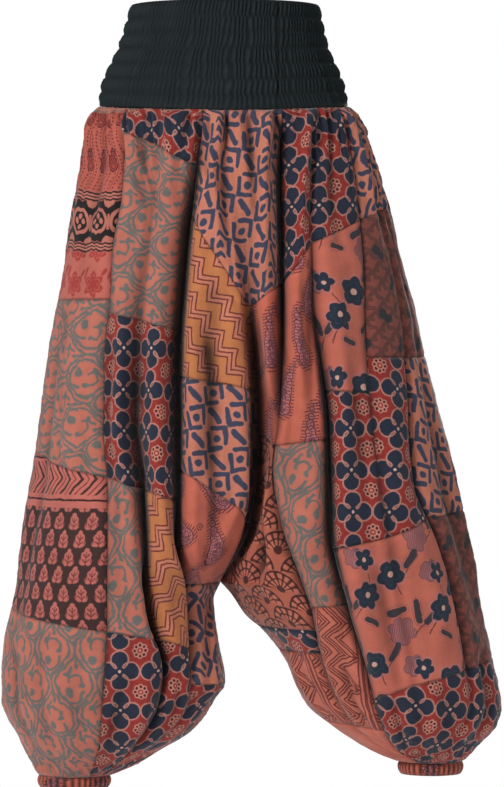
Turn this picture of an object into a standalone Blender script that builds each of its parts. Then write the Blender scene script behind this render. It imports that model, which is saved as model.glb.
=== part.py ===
"""Patchwork harem trousers with a shirred waistband, as a worn, hollow garment.

Metres, +Z up. The origin is the middle of the waistband's top opening, the front
faces -Y, and the wearer's left leg is at +X. Every cloth patch is a thin closed
wall on one common surface: rings of the garment, divided by the seams and folds
that run down it and by the patch edges that cross it.
"""
import bpy
import numpy as np

MM = 0.001
CLOTH_WALL = 1.2 * MM
BAND_WALL = 2.4 * MM
SEAM_GAP = 0.3 * MM
CUFF_HEIGHT = 15 * MM
CUFF_WALL = 2.0 * MM
CROTCH_ROW = 19
LAST_ROW = 29
PUFF = 2.5 * MM
MITRE_LIMIT = 0.55
CROTCH_EASE = 4 * MM
WAIST_SEAM_DROP = 130
CROTCH_DROP = 748
LINE_MARGIN = 0.02
EDGE_SHARE = 1.3
BAND_FOOT_CENTRE = np.array((-0.002, 0.0))
BAND_FOOT_HALF = np.array((0.161, 0.110))
CLOTH_ROUGHNESS = 0.9
BAND_ROUGHNESS = 0.95
LINE_SPLITS = (0.0, 0.25, 0.75, 1.0)

# The garment's rings, in millimetres. drop: below the waist's top edge; right and left:
# where the sides are; centre: the centre-front line; half_depth: half the front-to-back
# size; back: how far the ring sits behind the waist; turn: degrees from the side round
# to the centre line.
BODY_RINGS = (
    # drop, right, left, centre, half_depth, back, turn
    (130, -163, 159, 12, 110, 0, 90),
    (143, -171, 169, 12, 117, 0, 90),
    (168, -181, 181, 13, 123, 2, 91),
    (205, -188, 196, 14, 128, 4, 93),
    (250, -195, 209, 18, 133, 6, 95),
    (320, -207, 226, 25, 140, 8, 99),
    (385, -218, 244, 32, 146, 10, 103),
    (460, -231, 262, 40, 151, 11, 108),
    (540, -242, 282, 43, 155, 12, 115),
    (615, -252, 300, 41, 158, 12, 124),
    (680, -263, 312, 30, 160, 12, 137),
    (715, -268, 319, 14, 160, 12, 150),
    (738, -271, 323, 0, 160, 12, 166),
    (748, -272, 325, -6, 160, 12, 180),
)
# Each leg's rings below the crotch, in millimetres. inner: the inseam's place.
RIGHT_LEG_RINGS = (
    # drop, outer, inner, half_depth, back
    (748, -272, -6, 160, 12),
    (772, -277, -16, 156, 12),
    (828, -287, -8, 148, 12),
    (880, -291, 0, 140, 12),
    (900, -291, -13, 136, 12),
    (926, -283, -28, 126, 11),
    (948, -270, -50, 112, 9),
    (966, -260, -82, 94, 7),
    (984, -250, -112, 70, 4),
    (1000, -242, -150, 46, 2),
)
LEFT_LEG_RINGS = (
    # drop, outer, inner, half_depth, back
    (748, 325, -6, 160, 12),
    (762, 328, 8, 158, 12),
    (790, 334, 26, 153, 12),
    (812, 339, 50, 149, 12),
    (853, 348, 80, 142, 12),
    (888, 357, 95, 134, 12),
    (912, 360, 110, 126, 11),
    (935, 353, 138, 112, 9),
    (955, 334, 168, 92, 7),
    (970, 320, 196, 68, 4),
    (982, 308, 226, 44, 2),
)
BAND_RINGS = (
    # drop, half_width, half_depth, centre
    (0, 121, 88, 0),
    (30, 127, 92, -1),
    (61, 135, 97, -2),
    (90, 147, 103, -3),
    (112, 155, 108, -3),
)

# The lines that run down the front, in millimetres: where each is at a drop, and how
# deep the fold along it is there.
RIGHT_LINES = {
    "fold_in": ((138, -26, 3), (187, -32, 8), (252, -42, 17), (317, -51, 24), (460, -61, 26),
                (616, -58, 26), (681, -56, 24), (746, -42, 16), (850, -38, 6), (902, -44, 4),
                (954, -86, 3), (975, -114, 3), (1000, -156, 1)),
    "fold_out": ((138, -84, 2), (252, -94, 4), (382, -108, 5), (538, -118, 14), (616, -108, 21),
                 (746, -94, 24), (798, -85, 20), (850, -70, 12), (902, -80, 6), (954, -112, 4),
                 (975, -132, 3), (1000, -162, 1)),
    "seam_side": ((138, -127, 1), (252, -134, 3), (317, -146, 3), (382, -148, 3), (460, -157, 4),
                  (538, -157, 4), (616, -151, 4), (798, -148, 3), (902, -155, 3), (954, -160, 2),
                  (1000, -174, 1)),
}
LEFT_LINES = {
    "slit": ((138, 75, 3), (190, 75, 14), (300, 75, 22), (420, 73, 16), (538, 66, 9),
             (603, 58, 6), (668, 68, 6), (733, 91, 6), (780, 108, 5), (824, 115, 5),
             (876, 130, 5), (928, 162, 4), (960, 202, 3), (982, 236, 1)),
    "fold_knee": ((138, 121, 2), (252, 113, 4), (382, 114, 8), (460, 124, 13), (538, 133, 19),
                  (681, 133, 20), (746, 147, 14), (850, 176, 8), (902, 190, 5), (954, 212, 3),
                  (982, 250, 1)),
    "seam_mid": ((138, 146, 1), (187, 163, 3), (317, 179, 3), (460, 184, 4), (616, 199, 4),
                 (746, 221, 4), (850, 238, 3), (954, 250, 2), (982, 268, 1)),
    "seam_side": ((138, 156, 1), (187, 181, 2), (252, 197, 3), (382, 226, 3), (460, 235, 4),
                  (616, 246, 5), (681, 272, 5), (746, 293, 5), (850, 312, 4), (902, 318, 3),
                  (954, 292, 2), (982, 290, 1)),
}
# The lines that run down the back: the share of the way from the side to the centre
# back, at the waist and at the cuff, and the fold's depth in millimetres at the waist,
# at the knee and at the cuff.
BACK_LINES = {
    # name: share_top, share_bottom, depth_top, depth_knee, depth_bottom
    "right": {"back_side": (0.30, 0.24, 2, 12, 1), "back_mid": (0.55, 0.50, 3, 22, 1),
              "back_in": (0.78, 0.76, 2, 17, 1)},
    "left": {"back_side": (0.26, 0.27, 2, 15, 1), "back_mid": (0.52, 0.54, 3, 10, 1),
             "back_in": (0.76, 0.79, 3, 24, 1)},
}
LINES = {
    "right": ("centre_front", "fold_in", "fold_out", "seam_side", "side",
              "back_side", "back_mid", "back_in", "centre_back"),
    "left": ("centre_front", "slit", "fold_knee", "seam_mid", "seam_side", "side",
             "back_side", "back_mid", "back_in", "centre_back"),
}

# The rows that cross the garment, in millimetres below the waist: a column per line.
CENTRE_ROWS = ((0, 144), (2, 200), (5, 394), (8, 440), (9, 460), (11, 500), (14, 670),
               (15, 690), (17, 715), (19, 748))
RIGHT_ROWS = (
    # row, fold_in, fold_out, seam_side, side, inseam below the crotch
    (0, 143, 141, 138, 130, None),
    (2, 216, 187, 168, 156, None),
    (5, 276, 270, 265, 259, None),
    (8, 395, 388, 384, 382, None),
    (9, 424, 410, 400, 392, None),
    (11, 482, 468, 460, 455, None),
    (14, 600, 592, 580, 560, None),
    (15, 640, 625, 610, 576, None),
    (17, 690, 676, 662, 650, None),
    (19, 748, 748, 745, 738, 748),
    (21, 832, 818, 806, 777, 800),
    (23, 876, 868, 862, 850, 882),
    (29, 1000, 1000, 1000, 1000, 1000),
)
LEFT_ROWS = (
    # row, slit, fold_knee, seam_mid, seam_side, side, inseam below the crotch
    (0, 142, 138, 135, 133, 130, None),
    (5, 364, 312, 281, 268, 262, None),
    (9, 474, 455, 458, 458, 455, None),
    (10, 504, 500, 504, 504, 500, None),
    (12, 570, 562, 558, 556, 552, None),
    (15, 700, 702, 686, 662, 652, None),
    (19, 756, 752, 748, 744, 740, 748),
    (20, 776, 772, 768, 764, 760, 774),
    (22, 836, 830, 822, 812, 804, 836),
    (24, 886, 895, 875, 856, 845, 882),
    (26, 930, 935, 922, 912, 905, 922),
    (29, 982, 982, 982, 982, 982, 982),
)

# The patches: each is one or more blocks of the cloth between two lines and two rows.
PATCHES = {
    # name: cloth, then blocks of (leg, first line, last line, first row, last row)
    "front_centre_maze": ("maze", ("right", "centre_front", "fold_in", 0, 5),
                          ("left", "centre_front", "slit", 0, 5)),
    "right_front_side_1": ("border", ("right", "seam_side", "side", 0, 8)),
    "right_front_side_2": ("swirl", ("right", "seam_side", "side", 8, 15)),
    "right_front_side_3": ("lattice", ("right", "seam_side", "side", 15, 21)),
    "right_front_side_4": ("swirl", ("right", "seam_side", "side", 21, 29)),
    "right_front_mid_1": ("mosaic", ("right", "fold_in", "seam_side", 0, 2)),
    "right_front_mid_2": ("swirl", ("right", "fold_in", "seam_side", 2, 9)),
    "right_front_mid_3": ("mosaic", ("right", "fold_in", "seam_side", 9, 15)),
    "right_front_mid_4": ("swirl", ("right", "fold_out", "seam_side", 15, 21)),
    "right_front_mid_5": ("mosaic", ("right", "fold_out", "seam_side", 21, 29)),
    "right_front_centre_1": ("zigzag", ("right", "centre_front", "fold_in", 5, 11)),
    "right_front_centre_2": ("maze", ("right", "centre_front", "fold_in", 11, 14)),
    "right_front_centre_3": ("paisley", ("right", "centre_front", "fold_in", 14, 19)),
    "right_front_inner_1": ("zigzag", ("right", "fold_in", "fold_out", 15, 21)),
    "right_front_inner_2": ("maze", ("right", "centre_front", "fold_in", 19, 23)),
    "right_front_inner_3": ("mosaic", ("right", "centre_front", "fold_in", 23, 29),
                            ("right", "fold_in", "fold_out", 21, 29)),
    "left_front_centre_1": ("paisley", ("left", "centre_front", "fold_knee", 5, 12)),
    "left_front_centre_2": ("fan", ("left", "centre_front", "slit", 12, 21)),
    "left_front_centre_3": ("swirl", ("left", "slit", "fold_knee", 12, 20)),
    "left_front_inner_1": ("mosaic", ("left", "centre_front", "slit", 21, 22)),
    "left_front_inner_2": ("geometric", ("left", "slit", "fold_knee", 20, 26),
                           ("left", "centre_front", "slit", 22, 26)),
    "left_front_inner_3": ("plain", ("left", "centre_front", "fold_knee", 26, 29)),
    "left_front_mid_1": ("mosaic", ("left", "slit", "seam_mid", 0, 5)),
    "left_front_mid_2": ("flowers", ("left", "fold_knee", "seam_mid", 5, 10)),
    "left_front_mid_3": ("mosaic", ("left", "fold_knee", "seam_mid", 10, 15)),
    "left_front_mid_4": ("flowers", ("left", "fold_knee", "seam_side", 15, 24)),
    "left_front_mid_5": ("mosaic", ("left", "fold_knee", "side", 24, 29)),
    "left_front_side_1": ("maze", ("left", "seam_mid", "side", 0, 5)),
    "left_front_side_2": ("foliage", ("left", "seam_mid", "side", 5, 9)),
    "left_front_side_3": ("mosaic", ("left", "seam_mid", "seam_side", 9, 15)),
    "left_front_side_4": ("maze", ("left", "seam_side", "side", 9, 15)),
    "left_front_side_5": ("foliage", ("left", "seam_side", "side", 15, 24)),
    "right_back_side_1": ("mosaic", ("right", "side", "back_side", 0, 5)),
    "right_back_side_2": ("flowers", ("right", "side", "back_side", 5, 14)),
    "right_back_side_3": ("maze", ("right", "side", "back_side", 14, 21)),
    "right_back_side_4": ("swirl", ("right", "side", "back_side", 21, 29)),
    "right_back_mid_1": ("swirl", ("right", "back_side", "back_in", 0, 8)),
    "right_back_mid_2": ("mosaic", ("right", "back_side", "back_in", 8, 15)),
    "right_back_mid_3": ("paisley", ("right", "back_side", "back_in", 15, 21)),
    "right_back_mid_4": ("mosaic", ("right", "back_side", "back_in", 21, 29)),
    "right_back_centre_1": ("maze", ("right", "back_in", "centre_back", 0, 11)),
    "right_back_centre_2": ("zigzag", ("right", "back_in", "centre_back", 11, 19)),
    "right_back_inner": ("geometric", ("right", "back_in", "centre_back", 19, 29)),
    "left_back_side_1": ("foliage", ("left", "side", "back_side", 0, 9)),
    "left_back_side_2": ("mosaic", ("left", "side", "back_side", 9, 17)),
    "left_back_side_3": ("swirl", ("left", "side", "back_side", 17, 24)),
    "left_back_side_4": ("mosaic", ("left", "side", "back_side", 24, 29)),
    "left_back_mid_1": ("mosaic", ("left", "back_side", "back_in", 0, 5)),
    "left_back_mid_2": ("flowers", ("left", "back_side", "back_in", 5, 12)),
    "left_back_mid_3": ("swirl", ("left", "back_side", "back_in", 12, 20)),
    "left_back_mid_4": ("lattice", ("left", "back_side", "back_in", 20, 29)),
    "left_back_centre_1": ("paisley", ("left", "back_in", "centre_back", 0, 8)),
    "left_back_centre_2": ("fan", ("left", "back_in", "centre_back", 8, 19)),
    "left_back_inner": ("maze", ("left", "back_in", "centre_back", 19, 29)),
}

CLOTH_COLOURS = {
    "maze": (0.62, 0.27, 0.16), "border": (0.24, 0.06, 0.05), "swirl": (0.34, 0.20, 0.17),
    "lattice": (0.25, 0.09, 0.07), "mosaic": (0.16, 0.08, 0.10), "zigzag": (0.52, 0.22, 0.11),
    "paisley": (0.50, 0.18, 0.14), "fan": (0.45, 0.17, 0.12), "geometric": (0.50, 0.19, 0.14),
    "plain": (0.60, 0.22, 0.16), "flowers": (0.45, 0.17, 0.14), "foliage": (0.30, 0.12, 0.09),
    "band": (0.010, 0.014, 0.015),
}


def smooth_table(rows, column, at):
    """A table's column at a drop, on a smooth curve through its rows (millimetres)."""
    drops = np.array([row[0] for row in rows], float)
    values = np.array([row[column] for row in rows], float)
    steps = np.diff(drops)
    slopes = np.diff(values) / steps
    tangents = np.zeros_like(values)
    tangents[0], tangents[-1] = slopes[0], slopes[-1]
    same_way = slopes[:-1] * slopes[1:] > 0
    weights = (steps[1:] + 2 * steps[:-1], 2 * steps[1:] + steps[:-1])
    with np.errstate(divide="ignore", invalid="ignore"):
        mean = sum(weights) / (weights[0] / slopes[:-1] + weights[1] / slopes[1:])
    tangents[1:-1] = np.where(same_way, np.nan_to_num(mean), 0.0)
    at = np.clip(at, drops[0], drops[-1])
    index = np.clip(np.searchsorted(drops, at, side="right") - 1, 0, len(steps) - 1)
    span = steps[index]
    t = (at - drops[index]) / span
    start, end = values[index], values[index + 1]
    return ((2 * t**3 - 3 * t**2 + 1) * start + (t**3 - 2 * t**2 + t) * span * tangents[index]
            + (3 * t**2 - 2 * t**3) * end + (t**3 - t**2) * span * tangents[index + 1])


def row_drop(leg, line, row):
    """How far below the waist a row crosses a line, in millimetres."""
    if line in ("centre_front", "centre_back") and row <= CROTCH_ROW:
        rows, column = CENTRE_ROWS, 1
        if line == "centre_back":
            even = float(np.interp(row, (0, CROTCH_ROW), (WAIST_SEAM_DROP, CROTCH_DROP)))
            if row in (0, CROTCH_ROW):
                return even
            front = float(np.interp(row, [r[0] for r in rows], [r[1] for r in rows]))
            return 0.5 * (even + front)
    else:
        rows = RIGHT_ROWS if leg == "right" else LEFT_ROWS
        front = [name for name in LINES[leg] if not name.startswith(("centre", "back"))]
        column = len(rows[0]) - 1 if line.startswith("centre") else 1 + front.index(line)
        rows = [r for r in rows if r[column] is not None]
    return float(np.interp(row, [r[0] for r in rows], [r[column] for r in rows]))


def ring(leg, drop):
    """A ring of one leg at a drop: centre, half-width (signed), half-depth, back, turn."""
    if drop <= CROTCH_DROP:
        outer = smooth_table(BODY_RINGS, 1 if leg == "right" else 2, drop)
        middle = smooth_table(BODY_RINGS, 3, drop)
        half_depth = smooth_table(BODY_RINGS, 4, drop)
        back = smooth_table(BODY_RINGS, 5, drop)
        turn = np.radians(smooth_table(BODY_RINGS, 6, drop))
    else:
        rings = RIGHT_LEG_RINGS if leg == "right" else LEFT_LEG_RINGS
        outer, middle, half_depth, back = (smooth_table(rings, k, drop) for k in (1, 2, 3, 4))
        turn = np.pi
    half_width = (outer - middle) / (1 - np.cos(turn))
    return outer - half_width, half_width, half_depth, back, turn


def back_drop(leg, line, row):
    """The drop of a row on a back line, between the side's and the centre back's."""
    share = BACK_LINES[leg][line][0]
    return (1 - share) * row_drop(leg, "side", row) + share * row_drop(leg, "centre_back", row)


def line_place(leg, line, row):
    """A line at a row: its drop, the angle from the side (front is plus), its fold depth."""
    if line.startswith("back"):
        top, bottom, depth_top, depth_knee, depth_bottom = BACK_LINES[leg][line]
        drop = back_drop(leg, line, row)
        turn = ring(leg, drop)[4]
        share = np.interp(row, (0, LAST_ROW), (top, bottom))
        depth = np.interp(row, (0, 5, 16, 23, LAST_ROW),
                          (depth_top, 0.6 * depth_knee, depth_knee, 0.6 * depth_knee, depth_bottom))
        return drop, -share * turn, depth
    drop = row_drop(leg, line, row)
    centre, half_width, _, _, turn = ring(leg, drop)
    if line == "side":
        return drop, 0.0, 0.0
    if line.startswith("centre"):
        return drop, turn if line == "centre_front" else -turn, 0.0
    table = (RIGHT_LINES if leg == "right" else LEFT_LINES)[line]
    cosine = np.clip((smooth_table(table, 1, drop) - centre) / half_width, -1, 1)
    return drop, min(float(np.arccos(cosine)), turn - LINE_MARGIN), smooth_table(table, 2, drop)


def surface_point(leg, drop, angle, inset):
    """The point of a leg's surface at a drop and an angle, moved in by inset (millimetres)."""
    centre, half_width, half_depth, back, _ = ring(leg, drop)
    across, depth = np.cos(angle), np.sin(angle)
    normal = np.array((across / half_width, -depth / half_depth))
    normal = normal / np.linalg.norm(normal)
    x = centre + half_width * across - inset * normal[0]
    y = back - half_depth * depth - inset * normal[1]
    return np.array((x, y, -drop)) * MM


def leg_grid(leg):
    """All points of one leg: a row of the grid for each row, a column for each line."""
    names = LINES[leg]
    grid = []
    for row in range(LAST_ROW + 1):
        places = [line_place(leg, name, row) for name in names]
        points = []
        for (drop_a, angle_a, in_a), (drop_b, angle_b, in_b) in zip(places, places[1:]):
            for split in LINE_SPLITS[:-1]:
                inset = in_a if split == 0 else -PUFF / MM * min(1.0, row / 3)
                points.append(surface_point(leg, drop_a + (drop_b - drop_a) * split,
                                            angle_a + (angle_b - angle_a) * split, inset))
        points.append(surface_point(leg, places[-1][0], places[-1][1], 0.0))
        grid.append(points)
    return np.array(grid)


def key_of(point):
    return tuple(np.round(point / (0.01 * MM)).astype(int))


def split_quad(a, b, c, d):
    """A quad as two triangles along its shorter diagonal."""
    if np.linalg.norm(c - a) <= np.linalg.norm(d - b):
        return [(a, b, c), (a, c, d)]
    return [(a, b, d), (b, c, d)]


def add_face_normals(sums, triangles):
    """Adds each triangle's normal to its corners' lists, weighted by the corner's angle."""
    for triangle in triangles:
        for k, corner in enumerate(triangle):
            one, other = triangle[(k + 1) % 3] - corner, triangle[(k + 2) % 3] - corner
            normal = np.cross(one, other)
            length = np.linalg.norm(normal)
            if length > 1e-12:
                angle = np.arctan2(length, np.dot(one, other))
                sums.setdefault(key_of(corner), []).append((angle, normal / length))


def corner_offsets(sums):
    """For each corner, the step from the outer face to the inner one, per metre of wall."""
    offsets = {}
    for key, normals in sums.items():
        mean = sum(angle * normal for angle, normal in normals)
        mean = mean / max(np.linalg.norm(mean), 1e-9)
        total = sum(angle for angle, _ in normals)
        spread = sum(angle * np.dot(mean, normal) for angle, normal in normals) / total
        offsets[key] = -mean / max(spread, MITRE_LIMIT)
    return offsets


def closed_wall(name, triangles, offsets, wall, gap, crotch):
    """A closed wall: the triangles, the same ones a wall's thickness inside, and a rim.

    The four corners that meet at the crotch point are drawn back a little more.
    """
    keys, outer, inward, faces = {}, [], [], []
    for triangle in triangles:
        centre = np.mean(triangle, axis=0)
        face = []
        for corner in triangle:
            key = key_of(corner)
            if key not in keys:
                keys[key] = len(outer)
                outer.append(corner)
                inward.append(np.zeros(3))
            index = keys[key]
            inward[index] = inward[index] + (centre - corner)
            face.append(index)
        if len(set(face)) == len(face):
            faces.append(face)
    edges = {edge for face in faces for edge in zip(face, face[1:] + face[:1])}
    rim = [edge for edge in edges if (edge[1], edge[0]) not in edges]
    border = {index for edge in rim for index in edge}
    shifted = []
    for index, point in enumerate(outer):
        shift = np.zeros(3)
        if index in border:
            ease = CROTCH_EASE if key_of(point) == crotch else gap * EDGE_SHARE
            shift = inward[index] / np.linalg.norm(inward[index]) * ease
        shifted.append(point + shift)
    inner = [point + offsets[key] * wall for key, point in zip(keys, shifted)]
    count = len(outer)
    all_faces = [tuple(face) for face in faces]
    all_faces += [tuple(index + count for index in reversed(face)) for face in faces]
    all_faces += [(start, start + count, end + count, end) for start, end in rim]
    mesh = bpy.data.meshes.new(name)
    mesh.from_pydata([tuple(point) for point in shifted + inner], [], all_faces)
    mesh.update()
    return mesh


def add_object(name, mesh, colour, roughness):
    material = bpy.data.materials.new(name + "_cloth")
    material.use_nodes = True
    shader = material.node_tree.nodes["Principled BSDF"]
    shader.inputs["Base Color"].default_value = (*colour, 1.0)
    shader.inputs["Roughness"].default_value = roughness
    mesh.materials.append(material)
    mesh.shade_smooth()
    trousers = bpy.data.objects.new(name, mesh)
    bpy.data.collections["harem_pants"].objects.link(trousers)
    return trousers


def block_triangles(leg, grid, first_line, last_line, first_row, last_row):
    """The triangles of a block of one leg, counter-clockwise seen from outside."""
    names = LINES[leg]
    steps = len(LINE_SPLITS) - 1
    first, last = sorted((names.index(first_line) * steps, names.index(last_line) * steps))
    triangles = []
    for i in range(first_row, last_row):
        for j in range(first, last):
            quad = [grid[i, j], grid[i + 1, j], grid[i + 1, j + 1], grid[i, j + 1]]
            triangles += split_quad(*(quad if leg == "left" else quad[::-1]))
    return triangles


def make_patches(grids, offsets):
    crotch = key_of(grids["left"][CROTCH_ROW, 0])
    for name, (cloth, *blocks) in PATCHES.items():
        triangles = []
        for leg, *block in blocks:
            triangles += block_triangles(leg, grids[leg], *block)
        mesh = closed_wall(name, triangles, offsets, CLOTH_WALL, SEAM_GAP, crotch)
        add_object(name, mesh, CLOTH_COLOURS[cloth], CLOTH_ROUGHNESS)


def ring_wall(name, rings, wall, colour):
    """A tube wall through closed rings, top ring first; each ring is an array of points."""
    mesh = bpy.data.meshes.new(name)
    count = len(rings[0])
    outer = np.array(rings)
    centres = outer.mean(axis=1, keepdims=True)
    flat = (outer - centres) * (1, 1, 0)
    inner = outer - flat / np.linalg.norm(flat, axis=2, keepdims=True) * wall
    points = np.concatenate((outer.reshape(-1, 3), inner.reshape(-1, 3)))
    levels, half = len(rings), len(rings) * count
    faces = []
    for j in range(count):
        k = (j + 1) % count
        for i in range(levels - 1):
            a, b, c, d = i * count + j, (i + 1) * count + j, (i + 1) * count + k, i * count + k
            faces += [(a, b, c, d), (d + half, c + half, b + half, a + half)]
        faces.append((k, k + half, j + half, j))
        low = (levels - 1) * count
        faces.append((low + j, low + j + half, low + k + half, low + k))
    mesh.from_pydata([tuple(point) for point in points], [], faces)
    mesh.update()
    return add_object(name, mesh, colour, BAND_ROUGHNESS)


def make_waistband(grids):
    """The shirred band: its lowest ring follows the cloth's top edge."""
    seam = np.concatenate((grids["left"][0], grids["right"][0][-2:0:-1]))
    low = seam + (0, 0, SEAM_GAP)
    rings = []
    for drop, half_width, half_depth, centre in BAND_RINGS:
        direction = (low[:, :2] - BAND_FOOT_CENTRE) / BAND_FOOT_HALF
        direction = direction / np.linalg.norm(direction, axis=1, keepdims=True)
        x = (centre + half_width * direction[:, 0]) * MM
        y = half_depth * direction[:, 1] * MM
        rings.append(np.column_stack((x, y, np.full(len(x), -drop * MM))))
    rings.append(low)
    ring_wall("waistband", rings, BAND_WALL, CLOTH_COLOURS["band"])


def make_cuffs(grids):
    """The elastic casing at each ankle, hanging on from the last ring of the leg."""
    for leg, points in (("right", grids["right"][-1][::-1]), ("left", grids["left"][-1])):
        top = points[:-1] - (0, 0, SEAM_GAP)
        rings = [top, top - (0, 0, 0.5 * CUFF_HEIGHT), top - (0, 0, CUFF_HEIGHT)]
        ring_wall(leg + "_cuff", rings, CUFF_WALL, CLOTH_COLOURS["paisley"])


def main():
    for item in list(bpy.data.objects):
        bpy.data.objects.remove(item, do_unlink=True)
    collection = bpy.data.collections.new("harem_pants")
    bpy.context.scene.collection.children.link(collection)
    grids = {leg: leg_grid(leg) for leg in ("right", "left")}
    sums = {}
    for leg, grid in grids.items():
        whole = (LINES[leg][0], LINES[leg][-1], 0, LAST_ROW)
        add_face_normals(sums, block_triangles(leg, grid, *whole))
    offsets = corner_offsets(sums)
    make_patches(grids, offsets)
    make_waistband(grids)
    make_cuffs(grids)


main()
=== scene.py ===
"""Patchwork harem trousers: the cloth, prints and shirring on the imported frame.

Metres, +Z up. The front faces -Y, and "right" and "left" are the wearer's, so the
right leg is at -X. The garment's surface is worked out once, from the same rings,
lines and rows as its solids, and each patch is a thin shell cut out of it.
"""

import bpy
import mathutils
import numpy as np
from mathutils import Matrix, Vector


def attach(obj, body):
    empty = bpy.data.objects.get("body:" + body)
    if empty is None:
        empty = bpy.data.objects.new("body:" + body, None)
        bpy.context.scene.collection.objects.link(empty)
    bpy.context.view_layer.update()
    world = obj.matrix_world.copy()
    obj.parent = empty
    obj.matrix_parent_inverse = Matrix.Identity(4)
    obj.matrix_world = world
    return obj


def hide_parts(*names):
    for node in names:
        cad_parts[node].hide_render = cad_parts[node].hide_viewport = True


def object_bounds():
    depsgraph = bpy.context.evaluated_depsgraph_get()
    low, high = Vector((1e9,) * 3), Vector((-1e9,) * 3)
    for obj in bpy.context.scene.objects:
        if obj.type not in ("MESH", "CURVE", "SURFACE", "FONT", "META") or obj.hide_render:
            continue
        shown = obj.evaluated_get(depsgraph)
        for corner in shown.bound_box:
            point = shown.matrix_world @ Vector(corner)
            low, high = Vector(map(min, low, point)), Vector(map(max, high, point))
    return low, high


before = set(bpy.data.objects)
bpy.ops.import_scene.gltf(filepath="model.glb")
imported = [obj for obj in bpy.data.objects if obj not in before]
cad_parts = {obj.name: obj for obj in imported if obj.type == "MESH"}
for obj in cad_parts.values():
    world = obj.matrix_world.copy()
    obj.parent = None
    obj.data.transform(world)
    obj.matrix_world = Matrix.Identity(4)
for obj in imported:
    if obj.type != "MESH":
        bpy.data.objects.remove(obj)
CAD_BOUNDS = [[float(value) for value in corner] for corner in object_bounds()]

bl_info = {
    "name": "Patchwork Harem Trousers",
    "version": (1, 0, 0),
    "blender": (4, 5, 0),
    "location": "3D View > Sidebar > Harem Pants",
    "description": "Sews printed cotton patches and a shirred waistband on the packed frame",
    "category": "Add Mesh",
}

MM = 0.001
FOLD_WIDTH = 8.0
CUFF_HEIGHT = 15.0
# How far the floor lies below the frame's lowest point, in metres. It is assumed.
FLOOR_DROP = 0.12
MATH = "ShaderNodeMath"
VECTOR = "ShaderNodeVectorMath"
NOISE = "ShaderNodeTexNoise"
GARMENTS = {}
CROTCH_ROW = 19
LAST_ROW = 29
CROTCH_DROP = 748

# The garment's rings, in millimetres, as in its solids.
BODY_RINGS = (
    # drop, right, left, centre, half_depth, back, turn
    (130, -163, 159, 12, 110, 0, 90),
    (143, -171, 169, 12, 117, 0, 90),
    (168, -181, 181, 13, 123, 2, 91),
    (205, -188, 196, 14, 128, 4, 93),
    (250, -195, 209, 18, 133, 6, 95),
    (320, -207, 226, 25, 140, 8, 99),
    (385, -218, 244, 32, 146, 10, 103),
    (460, -231, 262, 40, 151, 11, 108),
    (540, -242, 282, 43, 155, 12, 115),
    (615, -252, 300, 41, 158, 12, 124),
    (680, -263, 312, 30, 160, 12, 137),
    (715, -268, 319, 14, 160, 12, 150),
    (738, -271, 323, 0, 160, 12, 166),
    (748, -272, 325, -6, 160, 12, 180),
)
RIGHT_LEG_RINGS = (
    # drop, outer, inner, half_depth, back
    (748, -272, -6, 160, 12),
    (772, -277, -16, 156, 12),
    (828, -287, -8, 148, 12),
    (880, -291, 0, 140, 12),
    (900, -291, -13, 136, 12),
    (926, -283, -28, 126, 11),
    (948, -270, -50, 112, 9),
    (966, -260, -82, 94, 7),
    (984, -250, -112, 70, 4),
    (1000, -242, -150, 46, 2),
)
LEFT_LEG_RINGS = (
    # drop, outer, inner, half_depth, back
    (748, 325, -6, 160, 12),
    (762, 328, 8, 158, 12),
    (790, 334, 26, 153, 12),
    (812, 339, 50, 149, 12),
    (853, 348, 80, 142, 12),
    (888, 357, 95, 134, 12),
    (912, 360, 110, 126, 11),
    (935, 353, 138, 112, 9),
    (955, 334, 168, 92, 7),
    (970, 320, 196, 68, 4),
    (982, 308, 226, 44, 2),
)
BAND_RINGS = (
    # drop, half_width, half_depth, centre
    (0, 121, 88, 0),
    (30, 127, 92, -1),
    (61, 135, 97, -2),
    (90, 147, 103, -3),
    (112, 155, 108, -3),
    (144, 161, 110, -2),
)

# The lines that run down the front, in millimetres: drop, where the line is, and the
# depth of the fold along it.
FRONT_LINES = {
    "right": {
        "fold_in": ((138, -26, 3), (187, -32, 8), (252, -42, 17), (317, -51, 24),
                    (460, -61, 26), (616, -58, 26), (681, -56, 24), (746, -42, 16),
                    (850, -38, 6), (902, -44, 4), (954, -86, 3), (975, -114, 3), (1000, -156, 1)),
        "fold_out": ((138, -84, 2), (252, -94, 4), (382, -108, 5), (538, -118, 14),
                     (616, -108, 21), (746, -94, 24), (798, -85, 20), (850, -70, 12),
                     (902, -80, 6), (954, -112, 4), (975, -132, 3), (1000, -162, 1)),
        "seam_side": ((138, -127, 1), (252, -134, 3), (317, -146, 3), (382, -148, 3),
                      (460, -157, 4), (538, -157, 4), (616, -151, 4), (798, -148, 3),
                      (902, -155, 3), (954, -160, 2), (1000, -174, 1)),
    },
    "left": {
        "slit": ((138, 75, 3), (190, 75, 14), (300, 75, 22), (420, 73, 16), (538, 66, 9),
                 (603, 58, 6), (668, 68, 6), (733, 91, 6), (780, 108, 5), (824, 115, 5),
                 (876, 130, 5), (928, 162, 4), (960, 202, 3), (982, 236, 1)),
        "fold_knee": ((138, 121, 2), (252, 113, 4), (382, 114, 8), (460, 124, 13),
                      (538, 133, 19), (681, 133, 20), (746, 147, 14), (850, 176, 8),
                      (902, 190, 5), (954, 212, 3), (982, 250, 1)),
        "seam_mid": ((138, 146, 1), (187, 163, 3), (317, 179, 3), (460, 184, 4),
                     (616, 199, 4), (746, 221, 4), (850, 238, 3), (954, 250, 2), (982, 268, 1)),
        "seam_side": ((138, 156, 1), (187, 181, 2), (252, 197, 3), (382, 226, 3),
                      (460, 235, 4), (616, 246, 5), (681, 272, 5), (746, 293, 5),
                      (850, 312, 4), (902, 318, 3), (954, 292, 2), (982, 290, 1)),
    },
}
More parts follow.
